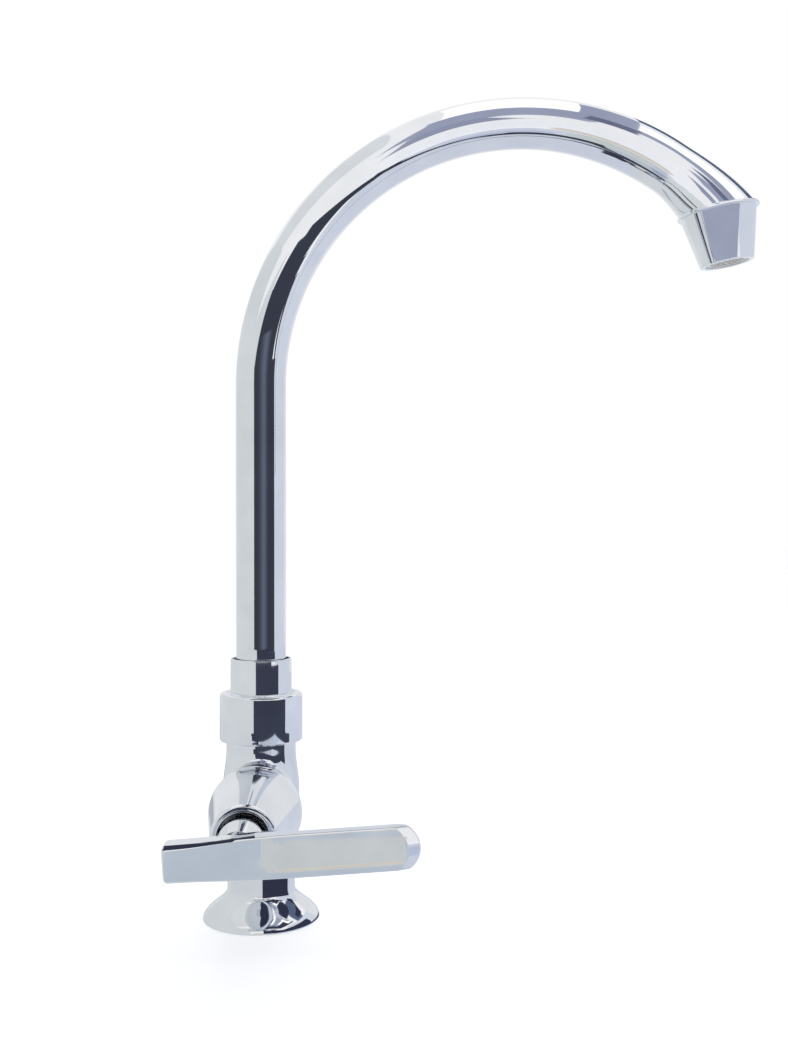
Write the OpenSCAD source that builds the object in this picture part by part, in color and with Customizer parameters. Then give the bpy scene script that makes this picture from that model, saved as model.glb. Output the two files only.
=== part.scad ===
// Single-lever deck tap with a swivelling gooseneck spout. Millimetres, +Z up.
// The origin is the centre of the foot, on the deck. The spout points along +X and the valve along -Y.

/* [Spout] */

// Outside diameter of the gooseneck tube
tube_d = 19.2; // [17:0.1:21]
// Radius of the gooseneck's bend, on the tube's centre line
bend_r = 101; // [85:1:140]
// Height of the bend's centre above the deck
bend_z = 205; // [170:1:280]
// Angle of the bend, from the upright tube to the outlet
bend_sweep = 138; // [128:1:146]
// Wall of the tube
tube_wall = 1.0; // [0.8:0.1:1.4]

/* [Outlet] */

// Diameter of the thin lip round the top of the nozzle
lip_d = 31; // [29:0.5:34]
// Diameter of the nozzle's mouth
mouth_d = 20.3; // [19.6:0.1:22]
// Length of the nozzle below its lip
nozzle_h = 19.6; // [17:0.1:24]
// Tilt of the nozzle away from the vertical
nozzle_tilt = 10; // [4:1:14]

/* [Body] */

// Diameter of the bell foot
foot_d = 44.8; // [40:0.1:56]
// Diameter of the body's neck, under the swivel nut
neck_d = 26.6; // [26:0.1:29]
// Diameter of the body's waist, above the foot
waist_d = 26; // [25:0.1:30]
// Diameter of the body's belly, just above the valve
belly_d = 29.4; // [28.6:0.1:32]
// Height of the valve's axis above the deck
valve_z = 45; // [44:0.1:46.5]
// Diameter of the globe round the valve's chamber, in front of the body's axis
globe_d = 34.6; // [32:0.1:36]
// Length of the valve branch, from the body's axis to its rim
branch_l = 57; // [56:0.5:64]
// Outside diameter of the valve branch at its rim, to which it narrows from the globe
branch_d = 22.6; // [22:0.1:25]

/* [Swivel joint] */

// Diameter of the swivel nut
nut_d = 31.8; // [31:0.1:36]
// Height of the swivel nut's lower edge above the deck
nut_z = 68.6; // [67.5:0.1:70]
// Diameter of the sleeve above the nut
collar_d = 23.5; // [23.2:0.1:23.8]
// Height of the sleeve's top above the deck
collar_z = 100.2; // [96:0.1:130]

/* [Lever] */

// Reach of the lever's long end, from the valve's axis
lever_reach = 60; // [45:1:80]
// Reach of the lever's short end, from the valve's axis
lever_tail = 22.7; // [18:0.1:30]
// Height of the lever's bar at its long end
lever_h = 13.8; // [13:0.1:16]
// Rise of the long end above the level when the tap is shut
lever_rise = 4; // [0:0.5:12]

/* [Deck fastening] */

// Length of the threaded tail below the deck
shank_l = 56; // [50:1:80]
// Thickness of the deck the washers are drawn against
deck_t = 20; // [5:1:26]
// Width across the lock nut's flats
lock_nut_af = 30; // [28:0.5:36]
// Height of the lock nut
lock_nut_h = 8; // [6:0.5:10]

/* [Hidden] */

// Curves are drawn with this many segments where they can't stay exact.
facets = 48;
$fn = facets;
// Overshoots of a cut: a hair where it ends inside the metal, and more where there is room.
eps = 0.02;
past = 1;
// Radial clearance between a moving piece and what it turns in.
run_gap = 0.06;
// Radial clearance of a screwed or brazed joint.
joint_gap = 0.04;

foot_r = foot_d / 2;
tube_r = tube_d / 2;
neck_r = neck_d / 2;
waist_r = waist_d / 2;
belly_r = belly_d / 2;
nut_r = nut_d / 2;
collar_r = collar_d / 2;
branch_r = branch_d / 2;
globe_r = globe_d / 2;
lip_r = lip_d / 2;
nozzle_mouth_r = mouth_d / 2;

// Tail, with a G 1/2 thread drawn at its outside diameter.
shank_r = 20.955 / 2;
shank_bore_r = 6.5;
shank_top = 12.6;
gasket_t = 1.2;
deck_seal_r = 19;
deck_seal_t = 2.2;
deck_washer_r = 18.5;
deck_washer_t = 1.5;
deck_washer_gap = 0.2;

// Heights on the body: the foot's lower edge, the top of the bell, the waist, the belly and the neck.
foot_edge = 0.4;
waist_z = 12;
waist_top = 22;
belly_z = 50;
neck_z = 65.5;
// Width of the foot's rim, outside the recess that holds the gasket.
foot_rim_w = 2.4;
// Distance of the globe's centre from the body's axis.
globe_s = 20;

// Swivel socket: the ferrule turns in it, and the ring stack above it holds the ferrule down.
ferrule_r = 10.9;
socket_r = ferrule_r + run_gap;
socket_floor = 61.5;
spigot_top = 79;
spigot_thread_r = 26.441 / 2;
slip_t = 0.8;
ring_z = spigot_top + slip_t + run_gap;
ring_t = 1.5;
collar_foot_z = ring_z + ring_t;
collar_foot_t = 1.3;
collar_bore_r = ferrule_r + joint_gap;
stack_r = 12.6;
nut_lip_z = collar_foot_z + collar_foot_t + run_gap;
nut_lip_t = 2.9;
nut_rim_h = 1.5;
nut_relief = 2.4;
tube_foot_z = 83;
ferrule_top = 89;
ferrule_bore_r = 7.4;
ring_groove_r = 9.4;
seal_section_r = 0.85;
seal_groove_half = 1.1;
seal_heights = [66, 71.5];

// Ceramic discs, measured outwards from the body's axis.
seat_s = 2;
seat_hole_r = 5;
chamber_r = 8.6;
valve_mouth_r = 9.05;
valve_mouth_s = 31;
disc_r = 6.6;
port_r = 4.6;
port_inner_r = 1.4;
port_half_angle = 38;
seat_washer_t = 2.2;
fixed_disc_s = seat_s + seat_washer_t;
fixed_disc_t = 2.8;
moving_disc_s = fixed_disc_s + fixed_disc_t;
moving_disc_t = 2.6;
disc_end_s = moving_disc_s + moving_disc_t;

// Headwork, measured outwards from the body's axis: housing, shoulder, guide, thread and hexagon.
housing_r = 7.7;
housing_bore_r = disc_r + run_gap;
housing_s = seat_s + 1.2;
shoulder_s = 21;
guide_s = 24;
headwork_thread_s = 33;
headwork_thread_r = 9;
hex_af = 15.4;
headwork_inset = 7;
headwork_end_s = branch_l - headwork_inset;
hex_h = 6;
hex_s = headwork_end_s - hex_h;
headwork_seal_s = 26;
headwork_seal_r = 0.74;
headwork_groove_half = 0.85;

// Stem and its stop, measured outwards from the body's axis. The lever's back stands off the branch's rim.
lever_stand = 16.5;
lever_back_s = branch_l + lever_stand;
stem_r = 3.8;
stem_proud = 0.5;
stem_end_s = lever_back_s + stem_proud;
spline_offset = 6;
spline_s = headwork_end_s + spline_offset;
spline_teeth = 16;
spline_depth = 0.5;
fork_w = 5;
fork_h = 3;
stem_seal_s = 30;
stem_seal_r = 0.44;
stem_groove_r = 2.95;
stem_groove_half = 0.8;
clip_t = 0.9;
clip_r = 5.6;
clip_groove_r = 3;
clip_s = headwork_end_s + run_gap;
stop_t = 1.6;
stop_s = clip_s + clip_t + 0.05;
stop_r = 6.2;
lug_r = 7.5;
lug_half_angle = 12;
stop_post_h = 3;
stop_post_r = 7.6;
stop_post_inner_r = 6.5;
stop_travel = 90;

// Lever, measured outwards from the body's axis.
hub_sink = 3;
hub_s = branch_l - hub_sink;
hub_r = 8.2;
hub_edge = 0.6;
hub_waist_r = 6.6;
lever_t = 8.5;
lever_front_s = lever_back_s + lever_t;
lever_tip_t = 5.5;
lever_edge = 0.8;
tail_h = 12.4;
pad_depth = 0.7;
pad_start = 11;
pad_low = 2.2;
grub_offset = 10;
grub_s = hub_s + grub_offset;
grub_r = 2;
grub_l = 3.6;
grub_key_r = 1.15;

// Gooseneck stations, as angles about the bend's centre: 180 is the upright tube, 90 the top.
flare_start = 90;
flare_knee = 56;
flare_end = 180 - bend_sweep;
knee_growth = 0.6;
end_half_w = 14.6;
end_half_d = 13.6;
flare_power = 1.6;
lean_power = 1.15;
flare_steps = 20;
flare_ring = 36;
// Step by which the widening length stands proud of the round tube, so that the two join cleanly.
seam = 0.12;
outlet_x = bend_r + bend_r * cos(flare_end);
outlet_z = bend_z + bend_r * sin(flare_end);

// Nozzle and aerator, measured from the nozzle's upper face in the direction of the water.
lip_t = 1.3;
lip_edge = 0.3;
nozzle_top_r = 14.4;
nozzle_end_s = lip_t + nozzle_h;
insert_s = 11;
insert_r = 8.25;
insert_recess = 0.7;
throat_r = 7;
aerator_washer_t = 1.2;
screen_s = insert_s + aerator_washer_t;
screen_r = 8;
screen_wire = 0.25;
aerator_s = screen_s + screen_wire;
aerator_shell_r = 6.95;

// Helpers

// A ring or tube standing on z = low.
module ring(outer, inner, low, high) {
  translate([0, 0, low])
    difference() {
      cylinder(r = outer, h = high - low);
      translate([0, 0, -eps])
        cylinder(r = inner, h = high - low + 2 * eps);
    }
}

// A round bar or a round cut from z = low to z = high.
module rod(radius, low, high) {
  translate([0, 0, low])
    cylinder(r = radius, h = high - low);
}

// A hexagonal bar from z = low to z = high, af wide across its flats.
module hexagon(af, low, high) {
  translate([0, 0, low])
    cylinder(r = af / 2 / cos(30), h = high - low, $fn = 6);
}

// Turns +Z into the valve's direction, so that z becomes the distance from the body's axis.
module along_valve() {
  translate([0, 0, valve_z])
    rotate([90, 0, 0])
      children();
}

// Turns +Z into the direction of the water at the outlet, from the nozzle's upper face.
module at_outlet() {
  translate([outlet_x, 0, outlet_z])
    rotate([0, 180 - nozzle_tilt, 0])
      children();
}

// A round seal with its centre circle at radius mid_r.
module o_ring(mid_r, section_r, z) {
  translate([0, 0, z])
    rotate_extrude()
      translate([mid_r, 0])
        circle(r = section_r);
}

// A flat sector of a circle from angle a to angle b, which span less than 180 degrees.
module sector(radius, a, b) {
  far = 2 * radius;
  mid = (a + b) / 2;
  intersection() {
    circle(r = radius);
    polygon([
      [0, 0],
      [far * cos(a), far * sin(a)],
      [far * cos(mid), far * sin(mid)],
      [far * cos(b), far * sin(b)]
    ]);
  }
}

// Points of a smooth S from (r0, z0) to (r1, z1), without its last point.
function s_curve(r0, z0, r1, z1, steps) = [
  for (i = [0:steps - 1])
    [r0 + (r1 - r0) * (1 - cos(180 * i / steps)) / 2, z0 + (z1 - z0) * i / steps]
];

// Points of a rounded outer corner at (r, z), from the side to the top.
function round_edge(r, z, radius) = [
  for (a = [0:15:90])
    [r - radius * (1 - cos(a)), z - radius * (1 - sin(a))]
];

// Body

module body_outline() {
  spigot_edge = 0.4;
  polygon(concat(
    [[0, 0], [foot_r - foot_edge, 0]],
    s_curve(foot_r, foot_edge, waist_r, waist_z, 12),
    [[waist_r, waist_z]],
    s_curve(waist_r, waist_top, belly_r, belly_z, 10),
    s_curve(belly_r, belly_z, neck_r, neck_z, 8),
    [[neck_r, neck_z], [neck_r, nut_z + nut_relief - spigot_edge], [spigot_thread_r, nut_z + nut_relief]],
    [[spigot_thread_r, spigot_top - spigot_edge], [spigot_thread_r - spigot_edge, spigot_top], [0, spigot_top]]
  ));
}

// The globe round the valve's chamber and the cone that runs from it to the branch's rim, as one turned
// profile along the valve's axis. The cone touches the globe without a step.
module branch_outline() {
  back_angle = 150;
  rim_edge = 1.1;
  steps = 10;
  reach = branch_l - globe_s;
  touch_angle = atan2(branch_r, reach) + acos(globe_r / norm([branch_r, reach]));
  polygon(concat(
    [[0, globe_s + globe_r * cos(back_angle)]],
    [for (i = [0:steps])
      let (a = back_angle + (touch_angle - back_angle) * i / steps)
        [globe_r * sin(a), globe_s + globe_r * cos(a)]
    ],
    round_edge(branch_r, branch_l, rim_edge),
    [[0, branch_l]]
  ));
}

module body() {
  inlet_y = 5;
  inlet_r = 5;
  outlet_y = -6.5;
  outlet_r = 3.8;
  outlet_low = 2;
  pocket_r = 8;
  pocket_top = 16;
  shank_end_gap = 0.2;
  color("silver")
    difference() {
      union() {
        rotate_extrude()
          body_outline();
        along_valve()
          rotate_extrude()
            branch_outline();
      }
      rod(foot_r - foot_rim_w, -past, gasket_t);
      rod(shank_r + joint_gap, -past, shank_top + shank_end_gap);
      rod(pocket_r, shank_top, pocket_top);
      translate([0, inlet_y, 0])
        rod(inlet_r, pocket_top - past, valve_z + inlet_r);
      along_valve()
        rod(seat_hole_r, -inlet_y, seat_s + eps);
      along_valve()
        rod(chamber_r, seat_s, valve_mouth_s + eps);
      along_valve()
        rod(valve_mouth_r, valve_mouth_s, branch_l + past);
      translate([0, outlet_y, 0])
        rod(outlet_r, valve_z + outlet_low, socket_floor + eps);
      rod(socket_r, socket_floor, spigot_top + past);
    }
}

// Deck fastening

module shank() {
  tail = 15;
  groove_top = tail - shank_l;
  groove_w = 1.5;
  groove_r = 9.5;
  chamfer = 1;
  top_edge = 0.6;
  color("goldenrod")
    rotate_extrude()
      polygon([
        [shank_bore_r, -shank_l],
        [shank_r - chamfer, -shank_l],
        [shank_r, -shank_l + chamfer],
        [shank_r, groove_top - groove_w],
        [groove_r, groove_top - groove_w],
        [groove_r, groove_top],
        [shank_r, groove_top],
        [shank_r, shank_top - top_edge],
        [shank_r - top_edge, shank_top],
        [shank_bore_r, shank_top]
      ]);
}

module base_gasket() {
  edge_gap = 0.1;
  color("dimgray")
    ring(foot_r - foot_rim_w - edge_gap, shank_r + joint_gap, 0, gasket_t);
}

module deck_seal() {
  color("dimgray")
    ring(deck_seal_r, shank_r + joint_gap, -deck_t - deck_seal_t, -deck_t);
}

module deck_washer() {
  top = -deck_t - deck_seal_t;
  color("lightgray")
    ring(deck_washer_r, shank_r + deck_washer_gap, top - deck_washer_t, top);
}

module lock_nut() {
  top = -deck_t - deck_seal_t - deck_washer_t;
  low = top - lock_nut_h;
  corner_r = lock_nut_af / 2 / cos(30);
  cone_r = corner_r - lock_nut_af / 4.3;
  cone_h = lock_nut_h * 1.75;
  color("goldenrod")
    difference() {
      intersection() {
        hexagon(lock_nut_af, low, top);
        translate([0, 0, top - cone_h])
          cylinder(r1 = cone_r, r2 = cone_r + cone_h, h = cone_h);
      }
      rod(shank_r + joint_gap, low - past, top + past);
    }
}

// Swivel joint

module swivel_nut() {
  top = nut_lip_z + nut_lip_t;
  rim_top = top + nut_rim_h;
  foot_chamfer = 0.9;
  rim_w = 2.2;
  rim_fall = 0.3;
  rim_inner_gap = 0.8;
  bore_gap = 0.15;
  stack_gap = 0.2;
  thread_relief = 0.6;
  color("silver")
    difference() {
      rotate_extrude()
        polygon(concat(
          [[0, nut_z], [nut_r - foot_chamfer, nut_z], [nut_r, nut_z + foot_chamfer]],
          round_edge(nut_r, rim_top, 1.2),
          [[nut_r - rim_w, rim_top - rim_fall], [collar_r + rim_inner_gap, top], [0, top]]
        ));
      rod(neck_r + bore_gap, nut_z - past, nut_z + nut_relief);
      rod(spigot_thread_r + joint_gap, nut_z + nut_relief - bore_gap, spigot_top + thread_relief);
      rod(stack_r + stack_gap, spigot_top, nut_lip_z);
      rod(collar_r + run_gap, nut_lip_z - past, top + past);
    }
}

module slip_washer() {
  color("white")
    ring(stack_r, socket_r, spigot_top, spigot_top + slip_t);
}

module split_ring() {
  gap = 3.5;
  color("lightgray")
    difference() {
      ring(stack_r, ring_groove_r + joint_gap, ring_z, ring_z + ring_t);
      translate([-stack_r - past, -gap / 2, ring_z - past])
        cube([stack_r, gap, ring_t + 2 * past]);
    }
}

module collar() {
  edge = 0.35;
  color("silver")
    rotate_extrude()
      polygon([
        [collar_bore_r, collar_foot_z],
        [stack_r, collar_foot_z],
        [stack_r, collar_foot_z + collar_foot_t],
        [collar_r, collar_foot_z + collar_foot_t],
        [collar_r, collar_z - edge],
        [collar_r - edge, collar_z],
        [collar_bore_r + edge / 2, collar_z],
        [collar_bore_r, collar_z - edge]
      ]);
}

module spout_ferrule() {
  foot_gap = 0.4;
  groove_bottom = ferrule_r + joint_gap / 2 - 2 * seal_section_r;
  color("goldenrod")
    difference() {
      ring(ferrule_r, ferrule_bore_r, socket_floor + foot_gap, ferrule_top);
      rod(tube_r + joint_gap, tube_foot_z, ferrule_top + past);
      for (z = seal_heights)
        ring(ferrule_r + past, groove_bottom, z - seal_groove_half, z + seal_groove_half);
      ring(ferrule_r + past, ring_groove_r, ring_z, ring_z + ring_t);
    }
}

module spout_seals() {
  mid_r = ferrule_r + joint_gap / 2 - seal_section_r;
  color("black")
    for (z = seal_heights)
      o_ring(mid_r, seal_section_r, z);
}

// Gooseneck

// Eases from 0 to 1 as t goes from 0 to 1.
function ease(t) = t * t * (3 - 2 * t);

// Part of the widening that station t has reached, as a value from 0 to 1, where the knee is at k.
function past_knee(t, k) = max(0, (t - k) / (1 - k));

// One ring of points of the widening length of tube. inset is the distance inside the outer skin.
function flare_section(t, inset) =
  let (
    span = flare_start - flare_end,
    knee = (flare_start - flare_knee) / span,
    angle = flare_start - span * t,
    late = past_knee(t, knee),
    grown = tube_r + seam + knee_growth * ease(max(0, min(1, t / knee))),
    half_w = grown + (end_half_w - grown) * pow(late, flare_power) - inset,
    half_d = grown + (end_half_d - grown) * pow(late, flare_power) - inset,
    turn = late == 0 ? angle : flare_knee + (nozzle_tilt - flare_knee) * pow(late, lean_power),
    x = bend_r + bend_r * cos(angle),
    z = bend_z + bend_r * sin(angle)
  )
  [
    for (i = [0:flare_ring - 1])
      let (a = 360 * i / flare_ring)
        [x + half_w * cos(a) * cos(turn), half_d * sin(a), z + half_w * cos(a) * sin(turn)]
  ];

// A closed skin through the stations from t0 to t1.
module flare_skin(inset, t0, t1) {
  n = flare_ring;
  stations = [for (k = [0:flare_steps]) flare_section(t0 + (t1 - t0) * k / flare_steps, inset)];
  points = [for (s = stations) each s];
  last = flare_steps * n;
  polyhedron(
    points,
    concat(
      [[for (i = [n - 1:-1:0]) i]],
      [for (k = [0:flare_steps - 1], i = [0:n - 1]) [
        k * n + i,
        k * n + (i + 1) % n,
        (k + 1) * n + (i + 1) % n,
        (k + 1) * n + i
      ]],
      [[for (i = [0:n - 1]) last + i]]
    ),
    convexity = 4
  );
}

module spout_tube() {
  // Stations, as shares of the widening, by which its two skins run past the round tube and the end.
  outer_lap = 0.01;
  inner_lap = 0.02;
  color("silver") {
    ring(tube_r, tube_r - tube_wall, tube_foot_z, bend_z);
    translate([bend_r, 0, bend_z])
      rotate([90, 0, 180])
        rotate_extrude(angle = 180 - flare_start)
          translate([bend_r, 0])
            difference() {
              circle(r = tube_r);
              circle(r = tube_r - tube_wall);
            }
    difference() {
      flare_skin(0, -outer_lap, 1);
      flare_skin(tube_wall + 2 * seam, -inner_lap, 1 + outer_lap);
    }
  }
}

// Outlet

module outlet_nozzle() {
  lip_w = 3.9;
  rim_edge = 0.6;
  rim_w = 0.4;
  throat_t = 2;
  color("silver")
    at_outlet()
      rotate_extrude()
        polygon([
          [lip_r - lip_w, 0],
          [lip_r - lip_edge, 0],
          [lip_r, lip_edge],
          [lip_r, lip_t - lip_edge],
          [lip_r - lip_edge, lip_t],
          [nozzle_top_r, lip_t],
          [nozzle_mouth_r + rim_w / 4, nozzle_end_s - rim_edge],
          [nozzle_mouth_r + rim_w / 4 - rim_w, nozzle_end_s],
          [insert_r + joint_gap, nozzle_end_s],
          [insert_r + joint_gap, insert_s],
          [throat_r, insert_s],
          [throat_r, insert_s - throat_t]
        ]);
}

module aerator_washer() {
  bore_inset = 0.6;
  color("black")
    at_outlet()
      ring(insert_r, throat_r - bore_inset, insert_s, screen_s);
}

module aerator_screen() {
  pitch = 1.25;
  rim_w = 1.3;
  reach = 4;
  color("lightgray")
    at_outlet()
      translate([0, 0, screen_s])
        difference() {
          cylinder(r = screen_r, h = screen_wire);
          for (ix = [-reach:reach], iy = [-reach:reach])
            if (norm([ix, iy]) * pitch < screen_r - rim_w)
              translate([ix * pitch, iy * pitch, 0])
                cube([pitch - screen_wire, pitch - screen_wire, 4 * screen_wire], center = true);
        }
}

module aerator_core() {
  core_r = aerator_shell_r - 0.05;
  core_h = 2.2;
  hole_r = 0.6;
  // Radius and number of the holes of each of the two circles.
  circles = [[5, 12], [2.6, 6]];
  color("white")
    at_outlet()
      difference() {
        rod(core_r, aerator_s, aerator_s + core_h);
        for (c = circles, i = [0:c[1] - 1])
          rotate([0, 0, 360 * i / c[1]])
            translate([c[0], 0, 0])
              rod(hole_r, aerator_s - past, aerator_s + core_h + past);
      }
}

module aerator_body() {
  bottom = nozzle_end_s - insert_recess;
  comb_t = 2.4;
  comb_low = bottom - comb_t;
  pitch = 2.1;
  cell_af = 1.767;
  reach = 3;
  color("white")
    at_outlet() {
      ring(insert_r, aerator_shell_r, aerator_s, bottom);
      difference() {
        rod(aerator_shell_r, comb_low, bottom);
        for (q = [-reach:reach], r = [-reach:reach])
          if (abs(q + r) <= reach)
            translate([pitch * (q + r / 2), pitch * r * sqrt(3) / 2, 0])
              rotate([0, 0, 30])
                hexagon(cell_af, comb_low - past, bottom + past);
      }
    }
}

// Valve

module seat_washer() {
  bore_r = seat_hole_r - 0.1;
  color("black")
    along_valve()
      ring(disc_r, bore_r, seat_s, seat_s + seat_washer_t);
}

// A ceramic disc with two opposite sector ports centred on angle a.
module disc(low, thick, a) {
  along_valve()
    translate([0, 0, low])
      linear_extrude(thick)
        difference() {
          circle(r = disc_r);
          for (side = [0, 180])
            difference() {
              sector(port_r, a + side - port_half_angle, a + side + port_half_angle);
              circle(r = port_inner_r);
            }
        }
}

module fixed_disc() {
  color("white")
    disc(fixed_disc_s, fixed_disc_t, 90);
}

module moving_disc() {
  color("white")
    disc(moving_disc_s, moving_disc_t, 0);
}

module headwork() {
  bore_r = stem_r + run_gap;
  window_low = 10;
  window_high = 19;
  window_w = 8;
  groove_depth = 1.5;
  color("goldenrod")
    along_valve()
      difference() {
        union() {
          ring(housing_r, housing_bore_r, housing_s, shoulder_s + past);
          ring(housing_r, bore_r, shoulder_s, guide_s + past);
          ring(chamber_r - joint_gap, bore_r, guide_s, headwork_thread_s);
          ring(headwork_thread_r, bore_r, headwork_thread_s, hex_s + past);
          intersection() {
            ring(headwork_thread_r, bore_r, hex_s, headwork_end_s);
            hexagon(hex_af, hex_s, headwork_end_s);
          }
          stop_post();
        }
        for (side = [0, 180])
          rotate([0, 0, side])
            translate([-window_w / 2, 0, window_low])
              cube([window_w, chamber_r, window_high - window_low]);
        ring(
          chamber_r + past, chamber_r - groove_depth,
          headwork_seal_s - headwork_groove_half, headwork_seal_s + headwork_groove_half
        );
      }
}

// The raised wall on the headwork's end that the lug meets at both ends of its travel.
module stop_post() {
  slack = 1;
  root = 0.5;
  start = lug_half_angle + slack + stop_travel;
  end = 360 - lug_half_angle - slack;
  pieces = 3;
  step = (end - start) / pieces;
  translate([0, 0, headwork_end_s - root])
    linear_extrude(stop_post_h + root)
      difference() {
        union() {
          for (i = [0:pieces - 1])
            sector(stop_post_r, start + i * step, min(end, start + (i + 1) * step + slack));
        }
        circle(r = stop_post_inner_r);
      }
}

module headwork_seal() {
  color("black")
    along_valve()
      o_ring(chamber_r - headwork_seal_r - run_gap / 6, headwork_seal_r, headwork_seal_s);
}

module stem() {
  flange_t = 1.6;
  flange_r = disc_r - 0.2;
  flange_top = shoulder_s - run_gap;
  groove_outer = stem_r + past;
  color("lightgray")
    along_valve() {
      difference() {
        union() {
          rod(stem_r, disc_end_s + fork_h - eps, spline_s);
          rod(flange_r, flange_top - flange_t, flange_top);
          spline(stem_r, spline_s - eps, stem_end_s);
        }
        ring(groove_outer, stem_groove_r, stem_seal_s - stem_groove_half, stem_seal_s + stem_groove_half);
        ring(groove_outer, clip_groove_r, clip_s, clip_s + clip_t);
      }
      intersection() {
        rod(flange_r, disc_end_s, disc_end_s + fork_h);
        translate([-fork_w / 2, -disc_r, disc_end_s])
          cube([fork_w, 2 * disc_r, fork_h]);
      }
    }
}

// A shaft or cut with spline teeth.
module spline(radius, low, high) {
  translate([0, 0, low])
    linear_extrude(high - low)
      polygon([
        for (i = [0:2 * spline_teeth - 1])
          let (r = i % 2 == 0 ? radius : radius - spline_depth, a = 180 * i / spline_teeth)
            [r * cos(a), r * sin(a)]
      ]);
}

module stem_seal() {
  color("black")
    along_valve()
      o_ring(stem_groove_r + stem_seal_r + eps / 2, stem_seal_r, stem_seal_s);
}

module stem_clip() {
  slot = 3;
  color("dimgray")
    along_valve()
      difference() {
        ring(clip_r, clip_groove_r + eps, clip_s, clip_s + clip_t);
        translate([-clip_r - past, -slot / 2, clip_s - past])
          cube([clip_r + past, slot, clip_t + 2 * past]);
      }
}

module stop_collar() {
  color("goldenrod")
    along_valve() {
      ring(stop_r, stem_r + eps, stop_s, stop_s + stop_t);
      translate([0, 0, stop_s])
        linear_extrude(stop_t)
          difference() {
            sector(lug_r, -lug_half_angle, lug_half_angle);
            circle(r = stop_r - 0.1);
          }
    }
}

// Lever

// Front view of the bar, about the valve's axis: slimmer at the short end, with a rounded tip.
module lever_front() {
  tail = -lever_tail;
  half = lever_h / 2;
  tail_half = tail_h / 2;
  swell = 0.25;
  swell_run = 10;
  full_x = pad_start + swell_run;
  tip_r = half + 1.1;
  tip_x = lever_reach - tip_r + sqrt(tip_r * tip_r - half * half);
  polygon([
    [tail, lever_edge - tail_half],
    [tail + lever_edge, -tail_half],
    [0, -tail_half - swell],
    [full_x, -half],
    [tip_x, -half],
    [tip_x, half],
    [full_x, half],
    [0, tail_half + swell],
    [tail + lever_edge, tail_half],
    [tail, tail_half - lever_edge]
  ]);
  intersection() {
    translate([lever_reach - tip_r, -half])
      square([tip_r, lever_h]);
    translate([lever_reach - tip_r, 0])
      circle(r = tip_r);
  }
}

// View of the bar from above, with its back towards the body: thickest behind the hub, thin at the tip.
module lever_side() {
  front = lever_front_s;
  tail = -lever_tail;
  back_edge = 1.2;
  scarf_start = 9;
  scarf_end = 22;
  scarf_step = 0.8;
  nose = 4;
  nose_x = lever_reach - nose;
  nose_flat = 1;
  chamfer_x = lever_reach - 1.6;
  polygon(concat(
    [[tail, lever_back_s + back_edge], [tail + back_edge, lever_back_s], [scarf_start, lever_back_s]],
    [[scarf_end, front - lever_tip_t - scarf_step], [nose_x, front - lever_tip_t]],
    [for (a = [0:15:90]) [
      nose_x + nose * sin(a),
      front - nose_flat - (lever_tip_t - nose_flat) * cos(a)
    ]],
    [[chamfer_x, front - lever_edge], [nose_x, front]],
    [[tail + lever_edge, front], [tail, front - lever_edge]]
  ));
}

// The flat that is cut in the front of the bar for the thumb.
module thumb_pad() {
  low = pad_low - lever_h / 2;
  round = 3;
  end = lever_reach - 4.2;
  translate([0, 0, lever_front_s - pad_depth])
    linear_extrude(pad_depth + past)
      union() {
        translate([pad_start + round, low])
          square([end - pad_start - round, lever_h]);
        translate([pad_start, low + round])
          square([round + eps, lever_h]);
        translate([pad_start + round, low + round])
          circle(r = round);
      }
}

module hub_outline() {
  root_s = lever_back_s + past;
  barrel_l = 7;
  polygon(concat(
    [[0, hub_s], [hub_r - hub_edge, hub_s], [hub_r, hub_s + hub_edge]],
    s_curve(hub_r, hub_s + barrel_l, hub_waist_r, root_s, 6),
    [[hub_waist_r, root_s], [0, root_s]]
  ));
}

module lever() {
  grub_gap = joint_gap;
  entry_gap = 0.3;
  color("silver")
    along_valve()
      difference() {
        rotate([0, 0, lever_rise])
          difference() {
            union() {
              rotate_extrude()
                hub_outline();
              intersection() {
                linear_extrude(lever_front_s + past)
                  lever_front();
                translate([0, lever_h, 0])
                  rotate([90, 0, 0])
                    linear_extrude(2 * lever_h)
                      lever_side();
              }
            }
            thumb_pad();
            translate([0, 0, grub_s])
              rotate([90, 0, 0])
                cylinder(r = grub_r + grub_gap, h = hub_r + past);
          }
        spline(stem_r + joint_gap, spline_s, stem_end_s + entry_gap);
        rod(stem_r + entry_gap, hub_s - past, spline_s + past);
      }
}

module lever_screw() {
  key_depth = grub_l / 2;
  color("dimgray")
    along_valve()
      rotate([0, 0, lever_rise])
        translate([0, -stem_r, grub_s])
          rotate([90, 0, 0])
            difference() {
              cylinder(r = grub_r, h = grub_l);
              translate([0, 0, grub_l - key_depth])
                cylinder(r = grub_key_r, h = key_depth + past, $fn = 6);
            }
}

body();
shank();
base_gasket();
deck_seal();
deck_washer();
lock_nut();
swivel_nut();
slip_washer();
split_ring();
collar();
spout_ferrule();
spout_seals();
spout_tube();
outlet_nozzle();
aerator_washer();
aerator_body();
aerator_core();
aerator_screen();
headwork();
headwork_seal();
seat_washer();
fixed_disc();
moving_disc();
stem();
stem_seal();
stem_clip();
stop_collar();
lever();
lever_screw();
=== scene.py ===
"""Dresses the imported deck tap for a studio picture: polished chrome over the CAD solids, in their frame.

Lengths in the size classes are millimetres; everything that reaches Blender is in metres.
"""
import logging
import math
from dataclasses import dataclass, field
from enum import Enum
from typing import Callable, Sequence

import bpy
import numpy as np
from bpy.types import Material, Node, NodeSocket, NodeTree, Object
from mathutils import Matrix, Vector


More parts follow.
